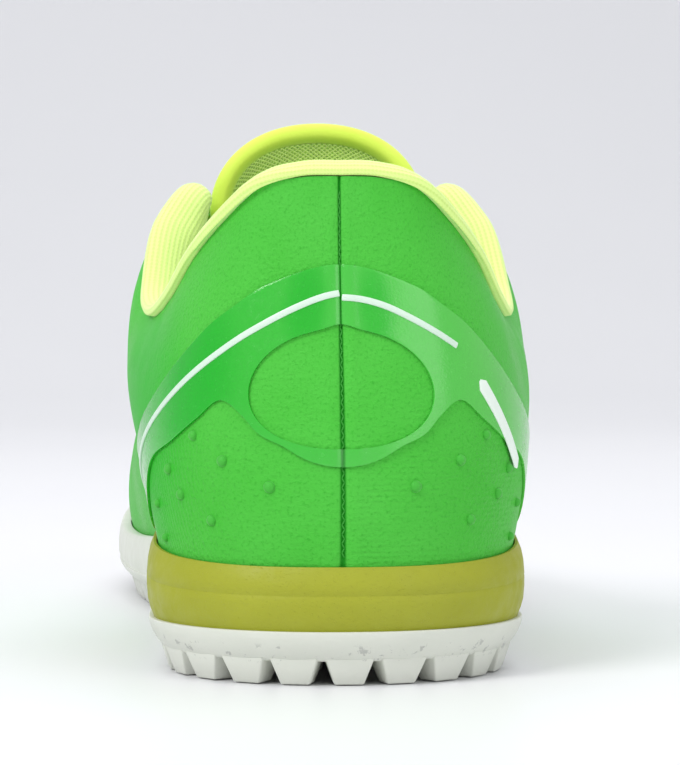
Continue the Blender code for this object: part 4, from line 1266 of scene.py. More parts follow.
# Kinds of lug. tall takes in what is sunk in the sole, tip is the tip's share of the root.
LugKind = namedtuple("LugKind", "name width depth tall tip soft")
RIM_LUG = LugKind("rim_lug", 0.0093, 0.0078, LUG_HEIGHT + 0.0006, 0.60, 0.00035)
INNER_LUG = LugKind("inner_lug", 0.0076, 0.0076, LUG_HEIGHT + 0.0008, 0.66, 0.00045)
ARCH_BAR = LugKind("arch_bar", 0.050, 0.0052, 0.0032, 0.80, 0.0006)
RIM_LUG_PITCH = 0.0094
RIM_LUG_MARGIN = 0.0027
# The first lug stands this share of a pitch past the middle of the heel
RIM_LUG_START = 0.1
INNER_LUG_MARGIN = 0.0142
# No inner lug stands nearer to a lug at the rim, middle to middle
LUG_SPACE = 0.0098
# Shares of the length between which there are bars and no lugs
ARCH_START = 0.34
ARCH_END = 0.47
ARCH_BARS = 3
ARCH_BAR_DROP = 0.0024
AHEAD = Vector((0, 1, 0))
ACROSS = Vector((1, 0, 0))


def model_lug(kind):
    """One lug, tip down at the origin: a block drawn in to its tip, its edges softened."""
    deselect_all()
    size = (kind.width, kind.depth, kind.tall)
    bpy.ops.mesh.primitive_cube_add(size=1, location=(0, 0, kind.tall / 2), scale=size)
    lug = bpy.context.object
    lug.name = kind.name
    bpy.ops.object.transform_apply(location=True, rotation=True, scale=True)
    bpy.ops.object.mode_set(mode="EDIT")
    bpy.ops.mesh.select_mode(type="FACE")
    bpy.ops.mesh.select_all(action="DESELECT")
    bpy.ops.object.mode_set(mode="OBJECT")
    for face in lug.data.polygons:
        face.select = face.normal.z < -0.9
    bpy.ops.object.mode_set(mode="EDIT")
    bpy.ops.transform.resize(value=(kind.tip, kind.tip, 1))
    bpy.ops.object.mode_set(mode="OBJECT")
    soften_edges(lug, kind.soft, 40)
    return lug


def placed_copy(model, place, across, ahead):
    """A copy of a modelled piece, with its own mesh, set down at a place and turned to two directions."""
    up = across.cross(ahead)
    copy = model.copy()
    copy.data = model.data.copy()
    bpy.context.scene.collection.objects.link(copy)
    turn = Matrix((across, ahead, up)).transposed().to_4x4()
    copy.data.transform(Matrix.Translation(place + SHIFT) @ turn)
    return copy


def rim_places():
    """Where the lugs along the edge of the sole stand, with the way out at each."""
    steps = 400
    samples = [outline(k / steps, RIM_LUG_MARGIN + RIM_LUG.depth / 2) for k in range(2 * steps + 1)]
    lengths = walked(samples)
    count = round(lengths[-1] / RIM_LUG_PITCH)
    places = []
    for n in range(count):
        want = lengths[-1] * (n + RIM_LUG_START) / count
        k = next(i for i in range(len(lengths)) if lengths[i] >= want)
        along = along_of(side_and_place(k / steps)[1])
        if not ARCH_START < along < ARCH_END:
            places.append((samples[k], out_of_sole(k / steps), spring(along)))
    return places


def make_lugs():
    """The lugs round the rim, the rows inside them, and the low bars under the arch."""
    rim, inner, bar = (model_lug(kind) for kind in (RIM_LUG, INNER_LUG, ARCH_BAR))
    copies = []
    taken = []
    for place, out, lift in rim_places():
        across = Vector((-out.y, out.x, 0)).normalized()
        copies.append(placed_copy(rim, Vector((place.x, place.y, lift)), -across, out))
        taken.append(place)
    for row in INNER_LUGS:
        half = plan_table.read("half", row.along) * end_rounding(row.along) - INNER_LUG_MARGIN
        centre = plan_table.read("centre", row.along)
        for n in range(row.count):
            x = centre - half + 2 * half * (n + 0.5) / row.count
            place = Vector((x, row.along * SOLE_LENGTH, 0))
            if min((place - other).length for other in taken) < LUG_SPACE:
                continue
            turn = Matrix.Rotation(row.turn, 3, "Z")
            place.z = spring(row.along)
            copies.append(placed_copy(inner, place, turn @ ACROSS, turn @ AHEAD))
    for n in range(ARCH_BARS):
        along = ARCH_START + (ARCH_END - ARCH_START) * (n + 0.5) / ARCH_BARS
        place = Vector((plan_table.read("centre", along), along * SOLE_LENGTH, LUG_HEIGHT - ARCH_BAR_DROP))
        copies.append(placed_copy(bar, place, ACROSS, AHEAD))
    for model in (rim, inner, bar):
        bpy.data.objects.remove(model)
    return joined("outsole_lugs", copies)


# Eyestay, eyelets and laces

# The eyelets stand nearly half way across the overlay, the last ones this far from its ends
EYELET_RISE = 1 - 0.46 * EYESTAY_SHARE
EYELET_BACK = 0.055
EYELET_FRONT = 0.035
PUNCH_SIDES = 20
PUNCH_LENGTH = 0.012
RIM_TUBE = 0.00050
RIM_OVER_HOLE = 0.00035
RIM_PROUD = 0.00015
# From this share of its run on the overlay turns round the throat's front end
STAY_TURN = 0.70
# Places on the upper: where its outer edge starts to turn, and how much further it ends
STAY_SIDE_END = 0.602
STAY_ROUND = 0.090
STAY_EDGE = 0.012
STAY_EDGE_ROUND = 0.00030
STAY_COLUMNS = 110
STAY_ROWS = 22
# Metres of pattern for each column and each row
STAY_COLUMN_LAY = 0.0012
STAY_ROW_LAY = 0.0006
# Past the throat and above this rise the overlay follows the ridge, where the wall has no one way out
ON_RIDGE = 0.9995
BELOW_RIDGE = 0.995
THROAT_SPARE = 0.001

LACE_WIDTH = 0.0050
LACE_THICKNESS = 0.0011
# How far a lace's end is under the eyelet, how far over it it bends, and how far in from it
LACE_UNDER = 0.0030
LACE_OVER = 0.0022
LACE_INWARD = 0.0016
LACE_REACH = 0.36
LACE_STEPS = 22
LACE_TAPER = 0.003
BAR_ARCH = 0.0050
UNDER_ARCH = 0.0052
OVER_ARCH = 0.0068


def eyelet_places():
    """Places of the eyelets, from the instep down to the front."""
    first, last = EYESTAY_START + EYELET_BACK, THROAT_END - EYELET_FRONT
    return [first + (last - first) * k / (EYELET_PAIRS - 1) for k in range(EYELET_PAIRS)]


def eyelet_loops():
    """Loop values of all the eyelets, the outer and the inner one of each pair."""
    return [loop for place in eyelet_places() for loop in (place, 2 - place)]


def stay_place(along, across):
    """Place and rise on the upper: along runs from the instep to the ridge, across from the throat out."""
    inner_place = EYESTAY_START + (THROAT_END - EYESTAY_START) * along
    if along < STAY_TURN:
        outer_place = EYESTAY_START + (STAY_SIDE_END - EYESTAY_START) * along / STAY_TURN
        outer_rise = 1 - EYESTAY_SHARE
    else:
        turn = (along - STAY_TURN) / (1 - STAY_TURN)
        outer_place = STAY_SIDE_END + STAY_ROUND * math.sin(turn * math.pi / 2)
        outer_rise = 1 - EYESTAY_SHARE * math.sqrt(max(0.0, 1 - turn * turn))
    return inner_place + (outer_place - inner_place) * across, 1 + (outer_rise - 1) * across


def stay_point(side, along, across, lift):
    """Point over the skin at a place of the overlay."""
    place, rise = stay_place(along, across)
    loop = place if side > 0 else 2 - place
    point = wall_point(loop, rise)
    if rise > ON_RIDGE and place > THROAT_END - THROAT_SPARE:
        return point + Vector((0, -ridge_fall(place), 1)).normalized() * lift
    return point + wall_normal(loop, rise) * lift


def make_eyestay():
    """The overlay: down the outer side of the throat, round its front end and up the inner side."""
    steps, across_steps = STAY_COLUMNS, STAY_ROWS

    def place(column, row):
        side = 1 if column <= steps else -1
        along = column / steps if side > 0 else 2 - column / steps
        return stay_point(side, along, STAY_EDGE + (1 - STAY_EDGE) * row / across_steps, SEAT)

    def lay(column, row):
        return column * STAY_COLUMN_LAY, row * STAY_ROW_LAY

    piece = sew_up(laid_grid("eyestay_overlay", 2 * steps + 1, across_steps + 1, place, lay))
    thicken(piece, EYESTAY_THICKNESS)
    soften_edges(piece, STAY_EDGE_ROUND, 50)
    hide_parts("eyestay")
    return piece


def cut_eyelets(pieces):
    """Round holes through the skin and the overlay at each eyelet."""
    bars = []
    for loop in eyelet_loops():
        turn = wall_normal(loop, EYELET_RISE).to_track_quat("Z", "Y").to_matrix().to_4x4()
        deselect_all()
        bpy.ops.mesh.primitive_cylinder_add(vertices=PUNCH_SIDES, radius=EYELET_RADIUS, depth=PUNCH_LENGTH)
        bar = bpy.context.object
        bar.data.transform(Matrix.Translation(wall_point(loop, EYELET_RISE) + SHIFT) @ turn)
        bars.append(bar)
    cutter = joined("eyelet_cutter", bars)
    for piece in pieces:
        apply_modifier(piece, "BOOLEAN", operation="DIFFERENCE", object=cutter, solver="EXACT")
    bpy.data.objects.remove(cutter)


def make_eyelet_rims():
    """Low moulded rims round the punched eyelets."""
    rims = []
    deselect_all()
    radius = EYELET_RADIUS + RIM_OVER_HOLE
    bpy.ops.mesh.primitive_torus_add(
        major_radius=radius, minor_radius=RIM_TUBE, major_segments=28, minor_segments=8)
    model = bpy.context.object
    for loop in eyelet_loops():
        out = wall_normal(loop, EYELET_RISE)
        across = out.orthogonal().normalized()
        centre = wall_point(loop, EYELET_RISE) + out * (EYESTAY_THICKNESS + RIM_PROUD)
        rims.append(placed_copy(model, centre, across, out.cross(across)))
    bpy.data.objects.remove(model)
    return joined("eyelet_rims", rims)


def lace_end(loop):
    """How a lace leaves an eyelet: path and facing from under the skin up, and what it arches from."""
    out, up = wall_normal(loop, EYELET_RISE), wall_up(loop, EYELET_RISE)
    eyelet = wall_point(loop, EYELET_RISE)
    path = [eyelet - out * LACE_UNDER - up * 0.0002, eyelet - out * 0.0012, eyelet + out * 0.0008]
    facing = [-up, -up, (out * 0.2 - up * 0.8).normalized()]
    top = eyelet + out * (EYESTAY_THICKNESS + LACE_OVER) + up * LACE_INWARD
    return path, facing, top, out, up


def lace_run(start_loop, end_loop, arch, name):
    """A flat lace that comes up through one eyelet, arches over the tongue and goes down the other."""
    path, outs, first, start_out, start_up = lace_end(start_loop)
    end_path, end_outs, last, end_out, end_up = lace_end(end_loop)
    reach = LACE_REACH * (wall_point(end_loop, EYELET_RISE) - wall_point(start_loop, EYELET_RISE)).length
    rising = first + start_up * reach + start_out * arch
    falling = last + end_up * reach + end_out * arch
    handles = (first, rising, falling, last)
    for k in range(LACE_STEPS + 1):
        path.append(bezier(handles, k / LACE_STEPS))
        outs.append(start_out.lerp(end_out, k / LACE_STEPS).normalized())
    path = evened_out(path + end_path[::-1], 2)
    outs += end_outs[::-1]
    return tube_along(name, path, outs, LACE_WIDTH, LACE_THICKNESS, around=12, tapered=LACE_TAPER)


def make_laces():
    """The bar across the front pair of eyelets, and two runs from each pair up to the next that cross."""
    places = eyelet_places()
    runs = [lace_run(places[-1], 2 - places[-1], BAR_ARCH, "lace_bar_run")]
    for n, (high, low) in enumerate(zip(places, places[1:]), 1):
        runs.append(lace_run(2 - low, high, UNDER_ARCH, f"lace_under_{n}"))
        runs.append(lace_run(low, 2 - high, OVER_ARCH, f"lace_over_{n}"))
    piece = joined("lace", runs)
    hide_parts("lace_bar", *[f"lace_crossing_{n}" for n in range(1, EYELET_PAIRS)])
    return piece


# Stitches and domes

THREAD_FLATNESS = 0.8
SEAM_STITCH = 0.00110
SEAM_THREAD = 0.00026
SEAM_ZIGZAG = 0.00018
SEAM_PITCH = 0.00088
SEAM_LIFT = 0.00020
SEAM_BOTTOM = 0.0242
SEAM_TOP = 0.0936
STAY_STITCH = 0.0021
STAY_THREAD = 0.00045
STAY_PITCH = 0.0026
STAY_STITCH_LIFT = 0.0001
STAY_STITCH_ROWS = (0.13, 0.90)
STAY_STITCH_MARGIN = 0.02
STAY_STITCH_STEPS = 46


def stitch_model(name, length, thickness):
    """One stitch: a short rounded thread that lies along x, a little flattened."""
    deselect_all()
    bpy.ops.mesh.primitive_uv_sphere_add(segments=10, ring_count=7, radius=0.5)
    model = bpy.context.object
    model.name = name
    bpy.ops.object.mode_set(mode="EDIT")
    bpy.ops.mesh.select_all(action="SELECT")
    bpy.ops.transform.resize(value=(length, thickness, thickness * THREAD_FLATNESS))
    bpy.ops.object.mode_set(mode="OBJECT")
    return model


def stitch_row(name, model, points, outs):
    """Stitches end to end along a line of points."""
    copies = []
    for a, b, out in zip(points, points[1:], outs):
        across = (b - a).normalized()
        side = out.cross(across).normalized()
        copies.append(placed_copy(model, (a + b) / 2, across, side))
    return joined(name, copies)


def make_domes():
    """The small raised domes low on both sides of the heel."""
    deselect_all()
    bpy.ops.mesh.primitive_uv_sphere_add(segments=24, ring_count=14, radius=1)
    model = bpy.context.object
    copies = []
    for side in (1, -1):
        for dome in DOMES:
            out = out_of_heel(side * dome.arc, dome.height)
            across = UP.cross(out).normalized()
            copy = placed_copy(model, -SHIFT, ACROSS, AHEAD)
            flatten = Matrix.Diagonal((dome.radius, dome.radius, DOME_HEIGHT, 1))
            turn = Matrix((across, out.cross(across).normalized(), out)).transposed().to_4x4()
            stand = Matrix.Translation(on_heel(side * dome.arc, dome.height) + SHIFT)
            copy.data.transform(stand @ turn @ flatten)
            copies.append(copy)
    bpy.data.objects.remove(model)
    return sew_up(joined("heel_domes", copies))


def make_seam_stitches():
    """The close zigzag down the middle of the heel, sunk in the seam."""
    model = stitch_model("seam_stitch", SEAM_STITCH, SEAM_THREAD)
    points, outs = [], []
    height, arc = SEAM_BOTTOM, SEAM_ZIGZAG
    while height < SEAM_TOP:
        points.append(on_heel(arc, height, SEAM_LIFT))
        outs.append(out_of_heel(arc, height))
        height += SEAM_PITCH
        arc = -arc
    row = stitch_row("heel_seam_stitches", model, points, outs)
    bpy.data.objects.remove(model)
    return row


def make_stay_stitches():
    """A row of stitches just inside each edge of the eyestay."""
    model = stitch_model("stay_stitch", STAY_STITCH, STAY_THREAD)
    run = 1 - 2 * STAY_STITCH_MARGIN
    alongs = [STAY_STITCH_MARGIN + run * k / STAY_STITCH_STEPS for k in range(STAY_STITCH_STEPS + 1)]
    lift = EYESTAY_THICKNESS + STAY_STITCH_LIFT
    rows = []
    for side in (1, -1):
        for across in STAY_STITCH_ROWS:
            points = [stay_point(side, along, across, lift) for along in alongs]
            spaced = evenly(points, STAY_PITCH)
            outs = []
            for point in spaced:
                near = min(range(len(points)), key=lambda k: (points[k] - point).length)
                place, rise = stay_place(alongs[near], across)
                outs.append(wall_normal(place if side > 0 else 2 - place, min(rise, BELOW_RIDGE)))
            rows.append(stitch_row(f"stay_row_{side}_{across}", model, spaced, outs))
    bpy.data.objects.remove(model)
    return joined("eyestay_stitches", rows)


def evenly(points, pitch):
    """Points the same distance apart along a line."""
    lengths = walked(points)
    count = max(2, int(lengths[-1] / pitch))
    line = []
    for n in range(count + 1):
        want = lengths[-1] * n / count
        k = min(len(points) - 2, next(i for i in range(len(lengths)) if lengths[i] >= want - 1e-9) or 1)
        k = max(0, k - 1)
        span = lengths[k + 1] - lengths[k]
        line.append(points[k].lerp(points[k + 1], (want - lengths[k]) / span if span else 0.0))
    return line


# White lines on the film

LinePoint = namedtuple("LinePoint", "arc height")
INNER_LINE = [
    LinePoint(-0.0935, 0.0236),
    LinePoint(-0.0680, 0.0368),
    LinePoint(-0.0450, 0.0503),
    LinePoint(-0.0270, 0.0615),
    LinePoint(-0.0180, 0.0668),
    LinePoint(-0.0104, 0.0706),
    LinePoint(-0.0040, 0.0729),
    LinePoint(-0.0004, 0.0736),
]
OUTER_LINE = [
    LinePoint(0.0004, 0.0728),
    LinePoint(0.0050, 0.0724),
    LinePoint(0.0100, 0.0711),
    LinePoint(0.0150, 0.0689),
    LinePoint(0.0200, 0.0663),
    LinePoint(0.0247, 0.0637),
]
WHITE_BAR = [
    LinePoint(0.0298, 0.0570),
    LinePoint(0.0425, 0.0400),
]
LINE_WIDTH = 0.00125
BAR_WIDTH = 0.0030
PRINT_THICKNESS = 0.00050
LINE_LIFT = 0.00010
BAR_LIFT = 0.00012
BAR_TAPER = 0.0010
BAR_STEPS = 18
LINE_STEP = 0.0009
LINE_STEPS = 20


def over_film(line_points, lift, steps):
    """Points of a line over the film, with the way out at each."""
    heights = Table(line_points, odd_start=("height",), odd_end=("height",))
    start, end = line_points[0].arc, line_points[-1].arc
    path, outs = [], []
    for k in range(steps + 1):
        arc = start + (end - start) * k / steps
        height = heights.read("height", arc)
        path.append(on_heel(arc, height, FILM_LIFT + lift))
        outs.append(out_of_heel(arc, height))
    return path, outs


def make_line(name, line_points):
    """A thin raised line laid over the film."""
    steps = max(LINE_STEPS, int((line_points[-1].arc - line_points[0].arc) / LINE_STEP))
    path, outs = over_film(line_points, LINE_LIFT, steps)
    return tube_along(name, path, outs, LINE_WIDTH, PRINT_THICKNESS, around=12)


def make_white_bar():
    """A plain slanted bar on the outer side of the heel."""
    path, outs = over_film(WHITE_BAR, BAR_LIFT, BAR_STEPS)
    return tube_along("white_bar", path, outs, BAR_WIDTH, PRINT_THICKNESS, around=16, tapered=BAR_TAPER)


# Finishes

# Painted shade along the heel's sunk seam, as a dark line: where it ends and where it is full, from the seam
SEAM_SHADE_END = 0.00065
SEAM_SHADE_FULL = 0.00020
# Level ribs low on the outer side of the heel, upright and leaning ones on the inner
LEVEL_RIB_PITCH = 0.00105
UPRIGHT_RIB_PITCH = 0.0012
UPRIGHT_RIB_LEAN = 0.35
RIBS_TOP = (0.050, 0.043)
RIBS_SIDE = (0.001, 0.004)
RIBS_FRONT = (0.075, 0.060)
KNIT_PITCH = 0.00105
LOOP_PITCH = 0.0009
MESH_PITCH = 0.00120
BRAID_PITCH = 0.00085
# Metres across a lace for each turn of its pattern
LACE_GIRTH = 0.0122

# Soft patches of deeper green: the middle, how far each reaches, and its strength
Patch = namedtuple("Patch", "arc height wide high strength")
# The skin's patch is painted shade, darkening the inner flank of the heel
FLANK_SHADE_PATCHES = [
    Patch(-0.066, 0.044, 0.042, 0.036, 0.7),
]
FILM_PATCHES = [
    Patch(-0.0320, 0.0570, 0.0135, 0.021, 1.0),
    Patch(-0.0075, 0.0715, 0.0060, 0.012, 0.75),
    Patch(0.0075, 0.0705, 0.0050, 0.011, 0.6),
]


def linear(red, green, blue):
    """A colour as the eye sees it, from 0 to 255, made the light values that a shader mixes."""
    values = []
    for part in (red, green, blue):
        level = part / 255
        values.append(level / 12.92 if level <= 0.04045 else ((level + 0.055) / 1.055) ** 2.4)
    return (*values, 1.0)


class Finish:
    """A material under way: its shader, and short words for the nodes that drive it."""

    def __init__(self, name, roughness, **constants):
        self.material = bpy.data.materials.new(name)
        self.material.use_nodes = True
        self.tree = self.material.node_tree
        self.shader = self.tree.nodes["Principled BSDF"]
        self.shader.inputs["Roughness"].default_value = roughness
        for socket, value in constants.items():
            self.shader.inputs[socket.replace("_", " ")].default_value = value
        self.bump_end = None

    def node(self, kind, **values):
        """A new node with its settings."""
        made = self.tree.nodes.new(kind)
        for key, value in values.items():
            setattr(made, key, value)
        return made

    def join(self, source, target):
        """Joins the end of one node to the start of another."""
        self.tree.links.new(source, target)

    def feed(self, socket, value):
        """Gives a socket another node's end, or a plain value."""
        if isinstance(value, bpy.types.NodeSocket):
            self.join(value, socket)
        else:
            socket.default_value = value

    def lay(self):
        """The piece's own pattern places: u along it and v up it, in metres."""
        return self.node("ShaderNodeUVMap").outputs["UV"]

    def room(self):
        """Places in the shoe's frame, in metres."""
        return self.node("ShaderNodeTexCoord").outputs["Object"]

    def parts(self, vector):
        """The three numbers of a place."""
        made = self.node("ShaderNodeSeparateXYZ")
        self.join(vector, made.inputs[0])
        return made.outputs

    def stretched(self, vector, scale):
        """Places pulled by a scale each way."""
        made = self.node("ShaderNodeMapping")
        self.join(vector, made.inputs["Vector"])
        made.inputs["Scale"].default_value = scale
        return made.outputs["Vector"]

    def reckon(self, operation, first, second=0.0):
        """One step of arithmetic."""
        made = self.node("ShaderNodeMath", operation=operation)
        self.feed(made.inputs[0], first)
        self.feed(made.inputs[1], second)
        return made.outputs[0]

    def plus(self, first, second):
        return self.reckon("ADD", first, second)

    def minus(self, first, second):
        return self.reckon("SUBTRACT", first, second)

    def times(self, first, second):
        return self.reckon("MULTIPLY", first, second)

    def larger(self, first, second):
        return self.reckon("MAXIMUM", first, second)

    def unsigned(self, value):
        return self.reckon("ABSOLUTE", value)

    def wave(self, value, pitch, push=0.0):
        """Waves from -1 to 1 of a pitch in metres, pushed along by an angle."""
        return self.reckon("SINE", self.plus(self.times(value, 2 * math.pi / pitch), push))

    def net(self, along, across, pitch):
        """Two sets of waves that cross on the slant."""
        return self.larger(self.wave(self.plus(along, across), pitch),
                           self.wave(self.minus(along, across), pitch))

    def noise(self, vector, scale, detail=2.0, roughness=0.5):
        """Soft random spots, so many to the metre."""
        made = self.node("ShaderNodeTexNoise")
        self.join(vector, made.inputs["Vector"])
        made.inputs["Scale"].default_value = scale
        made.inputs["Detail"].default_value = detail
        made.inputs["Roughness"].default_value = roughness
        return made.outputs["Fac"]

    def cells(self, vector, scale):
        """Distance from the middle of the nearest of many random cells."""
        made = self.node("ShaderNodeTexVoronoi")
        self.join(vector, made.inputs["Vector"])
        made.inputs["Scale"].default_value = scale
        return made.outputs["Distance"]

    def ramp(self, value, low, high):
        """0 below low, 1 above high, soft between."""
        made = self.node("ShaderNodeMapRange", interpolation_type="SMOOTHSTEP")
        self.feed(made.inputs["Value"], value)
        made.inputs["From Min"].default_value = low
        made.inputs["From Max"].default_value = high
        return made.outputs["Result"]

    def patches(self, across, up, patches):
        """1 in the middle of a strong patch, 0 past the reach of all of them."""
        whole = 0.0
        for patch in patches:
            x = self.times(self.minus(across, patch.arc), 1 / patch.wide)
            z = self.times(self.minus(up, patch.height), 1 / patch.high)
            away = self.plus(self.times(x, x), self.times(z, z))
            inside = self.ramp(self.minus(1.0, away), 0.0, 1.0)
            whole = self.larger(whole, self.times(inside, patch.strength))
        return whole

    def painted_seam_shade(self, across):
        """1 along the heel's seam, 0 away from it: the painted shade in the sunk seam."""
        return self.ramp(self.unsigned(across), SEAM_SHADE_END, SEAM_SHADE_FULL)

    def mix(self, share_of, first, second):
        """A colour between two."""
        made = self.node("ShaderNodeMix", data_type="RGBA")
        self.feed(made.inputs[0], share_of)
        self.feed(made.inputs[6], first)
        self.feed(made.inputs[7], second)
        return made.outputs[2]

    def bump(self, height, depth):
        """Relief on top of what is there already, depth in metres."""
        made = self.node("ShaderNodeBump")
        made.inputs["Strength"].default_value = 1.0
        made.inputs["Distance"].default_value = depth
        self.join(height, made.inputs["Height"])
        if self.bump_end:
            self.join(self.bump_end, made.inputs["Normal"])
        self.bump_end = made.outputs["Normal"]

    def done(self, colour, roughness=None):
        """Joins colour, gloss and relief to the shader."""
        self.feed(self.shader.inputs["Base Color"], colour)
        if roughness is not None:
            self.feed(self.shader.inputs["Roughness"], roughness)
        if self.bump_end:
            self.join(self.bump_end, self.shader.inputs["Normal"])
        return self.material


def green_skin():
    """Matte moulded skin with fine speckle, and ribs low on either side of the heel."""
    f = Finish("green_microfibre", 0.74, Specular_IOR_Level=0.08)
    lay = f.lay()
    across, up, _ = f.parts(lay)
    speckle = f.noise(lay, 1500, 3.0, 0.65)
    cloud = f.noise(lay, 42)
    colour = f.mix(cloud, linear(65, 181, 51), linear(91, 199, 78))
    colour = f.mix(f.times(f.ramp(speckle, 0.50, 0.72), 0.50), colour, linear(44, 158, 38))
    # Painted shade: the inner flank darker
    colour = f.mix(f.patches(across, up, FLANK_SHADE_PATCHES), colour, linear(18, 176, 30))
    # Painted shade: a darker line down the sunk seam
    colour = f.mix(f.painted_seam_shade(across), colour, linear(30, 140, 30))
    low = f.ramp(up, *RIBS_TOP)
    outer = f.times(low, f.ramp(across, *RIBS_SIDE))
    inner = f.times(low, f.ramp(f.times(across, -1.0), *RIBS_SIDE))
    level = f.wave(up, LEVEL_RIB_PITCH)
    upright = f.wave(f.plus(across, f.times(up, UPRIGHT_RIB_LEAN)), UPRIGHT_RIB_PITCH)
    ribs = f.plus(f.times(level, outer), f.times(upright, inner))
    f.bump(f.times(ribs, f.ramp(f.unsigned(across), *RIBS_FRONT)), 0.000025)
    f.bump(speckle, 0.00028)
    f.bump(f.noise(f.stretched(lay, (1.0, 1.6, 1.0)), 620), 0.00022)
    return f.done(colour, f.ramp(cloud, -0.4, 1.7))


def green_film():
    """Glossy film, deepest on the inner side of the heel and paler round the outer."""
    f = Finish("green_film", 0.26, Specular_IOR_Level=0.55, Coat_Weight=0.25, Coat_Roughness=0.18)
    lay = f.lay()
    across, up, _ = f.parts(lay)
    cloud = f.noise(f.stretched(lay, (1.0, 0.45, 1.0)), 55)
    side = f.ramp(f.plus(across, f.times(f.minus(cloud, 0.5), 0.02)), -0.034, 0.046)
    colour = f.mix(side, linear(40, 178, 42), linear(90, 198, 78))
    colour = f.mix(f.patches(across, up, FILM_PATCHES), colour, linear(8, 172, 26))
    # Painted shade: a darker line down the sunk seam
    colour = f.mix(f.painted_seam_shade(across), colour, linear(26, 136, 28))
    f.bump(f.noise(lay, 1900), 0.00005)
    return f.done(colour, f.ramp(f.noise(lay, 700), -0.35, 2.6))


def ribbed_knit():
    """A fine rib along the piece, with small loops, and painted shade in the hollows between them."""
    f = Finish("yellow_knit", 0.88, Sheen_Weight=0.35, Sheen_Roughness=0.5, Specular_IOR_Level=0.25)
    lay = f.lay()
    along, around, _ = f.parts(lay)
    rib = f.wave(around, KNIT_PITCH)
    loops = f.wave(along, LOOP_PITCH, f.times(f.unsigned(rib), 1.6))
    relief = f.plus(f.times(rib, 0.5), f.times(loops, 0.22))
    f.bump(relief, 0.00007)
    f.bump(f.noise(lay, 2400, 3.0, 0.7), 0.00010)
    # Painted shade: the knit darker where its relief is low
    painted_rib_shade = f.times(f.ramp(relief, 0.25, -0.60), 0.45)
    return f.done(f.mix(painted_rib_shade, linear(228, 255, 150), linear(190, 226, 104)))


def open_mesh():
    """Small-holed mesh over a light foam, for the tongue, with painted shade in its holes."""
    f = Finish("tongue_mesh", 0.85, Sheen_Weight=0.30, Specular_IOR_Level=0.25)
    lay = f.lay()
    across, up, _ = f.parts(lay)
    net = f.net(across, up, MESH_PITCH)
    f.bump(net, 0.00016)
    f.bump(f.noise(lay, 2600), 0.00008)
    # Painted shade: the holes of the net darker than its threads
    return f.done(f.mix(f.ramp(net, -0.3, 0.8), linear(186, 230, 88), linear(228, 255, 146)))


def lace_weave():
    """Flat braid: two sets of threads crossing on the slant, with painted shade between them."""
    f = Finish("lace_braid", 0.80, Sheen_Weight=0.30, Specular_IOR_Level=0.25)
    along, across, _ = f.parts(f.lay())
    braid = f.net(along, f.times(across, LACE_GIRTH), BRAID_PITCH)
    f.bump(braid, 0.00014)
    f.bump(f.noise(f.room(), 2600), 0.00006)
    # Painted shade: darker between the crossing threads
    return f.done(f.mix(f.ramp(braid, -0.2, 0.9), linear(168, 204, 40), linear(214, 244, 74)))


def olive_foam():
    """Moulded foam with fine pores."""
    f = Finish("olive_foam", 0.60, Specular_IOR_Level=0.35)
    room = f.room()
    f.bump(f.ramp(f.cells(room, 1900), 0.05, 0.30), 0.00006)
    f.bump(f.noise(room, 900, 3.0), 0.00007)
    colour = f.mix(f.noise(room, 90, 3.0), linear(152, 156, 36), linear(164, 168, 46))
    return f.done(colour, f.ramp(f.noise(room, 300), -0.9, 1.8))


def white_rubber():
    """Off-white rubber with a little grey along its lowest edge."""
    f = Finish("white_rubber", 0.48, Specular_IOR_Level=0.45)
    room = f.room()
    up = f.parts(room)[2]
    edge = f.times(f.ramp(up, 0.0082, 0.0070), f.ramp(up, 0.0036, 0.0050))
    scuff = f.times(edge, f.ramp(f.noise(room, 400, 4.0, 0.7), 0.57, 0.64))
    f.bump(f.noise(room, 1300, 3.0), 0.00006)
    colour = f.mix(f.noise(room, 70), linear(220, 222, 212), linear(210, 213, 202))
    colour = f.mix(f.times(scuff, 0.55), colour, linear(150, 152, 148))
    return f.done(colour, f.ramp(f.noise(room, 260), -0.8, 2.0))


def woven_lining():
    """Short-piled textile of the sock liner."""
    f = Finish("sockliner_textile", 0.90, Sheen_Weight=0.35, Specular_IOR_Level=0.2)
    room = f.room()
    pile = f.noise(room, 1700, 3.0, 0.7)
    f.bump(pile, 0.00016)
    f.bump(f.cells(room, 900), 0.00010)
    return f.done(f.mix(pile, linear(40, 132, 44), linear(76, 178, 66)))


def soft_lining():
    """Brushed textile on the inside of the upper."""
    f = Finish("upper_lining", 0.90, Sheen_Weight=0.35, Specular_IOR_Level=0.2)
    nap = f.noise(f.room(), 1600, 3.0, 0.7)
    f.bump(nap, 0.00014)
    return f.done(f.mix(nap, linear(168, 210, 84), linear(206, 240, 122)))


def smooth_binding():
    """The tongue's rolled rim."""
    f = Finish("yellow_binding", 0.62, Sheen_Weight=0.20, Specular_IOR_Level=0.35)
    room = f.room()
    f.bump(f.noise(room, 1500, 3.0), 0.00008)
    return f.done(f.mix(f.noise(room, 120), linear(210, 236, 72), linear(222, 246, 98)))


def white_print(name, light, dark):
    """Raised white print on the film."""
    f = Finish(name, 0.38, Specular_IOR_Level=0.45)
    room = f.room()
    f.bump(f.noise(room, 1700), 0.00004)
    return f.done(f.mix(f.noise(room, 300), light, dark))


def thread(name, light, dark):
    """Twisted thread, or a skin as fine as one."""
    f = Finish(name, 0.60, Sheen_Weight=0.15, Specular_IOR_Level=0.35)
    twist = f.noise(f.room(), 3000)
    f.bump(twist, 0.00008)
    return f.done(f.mix(twist, light, dark))


def studio_floor():
    """Smooth pale paper."""
    f = Finish("studio_floor", 0.42, Specular_IOR_Level=0.30)
    return f.done(f.mix(f.noise(f.room(), 2.0), linear(235, 235, 237), linear(230, 230, 233)))


# The shoe put together


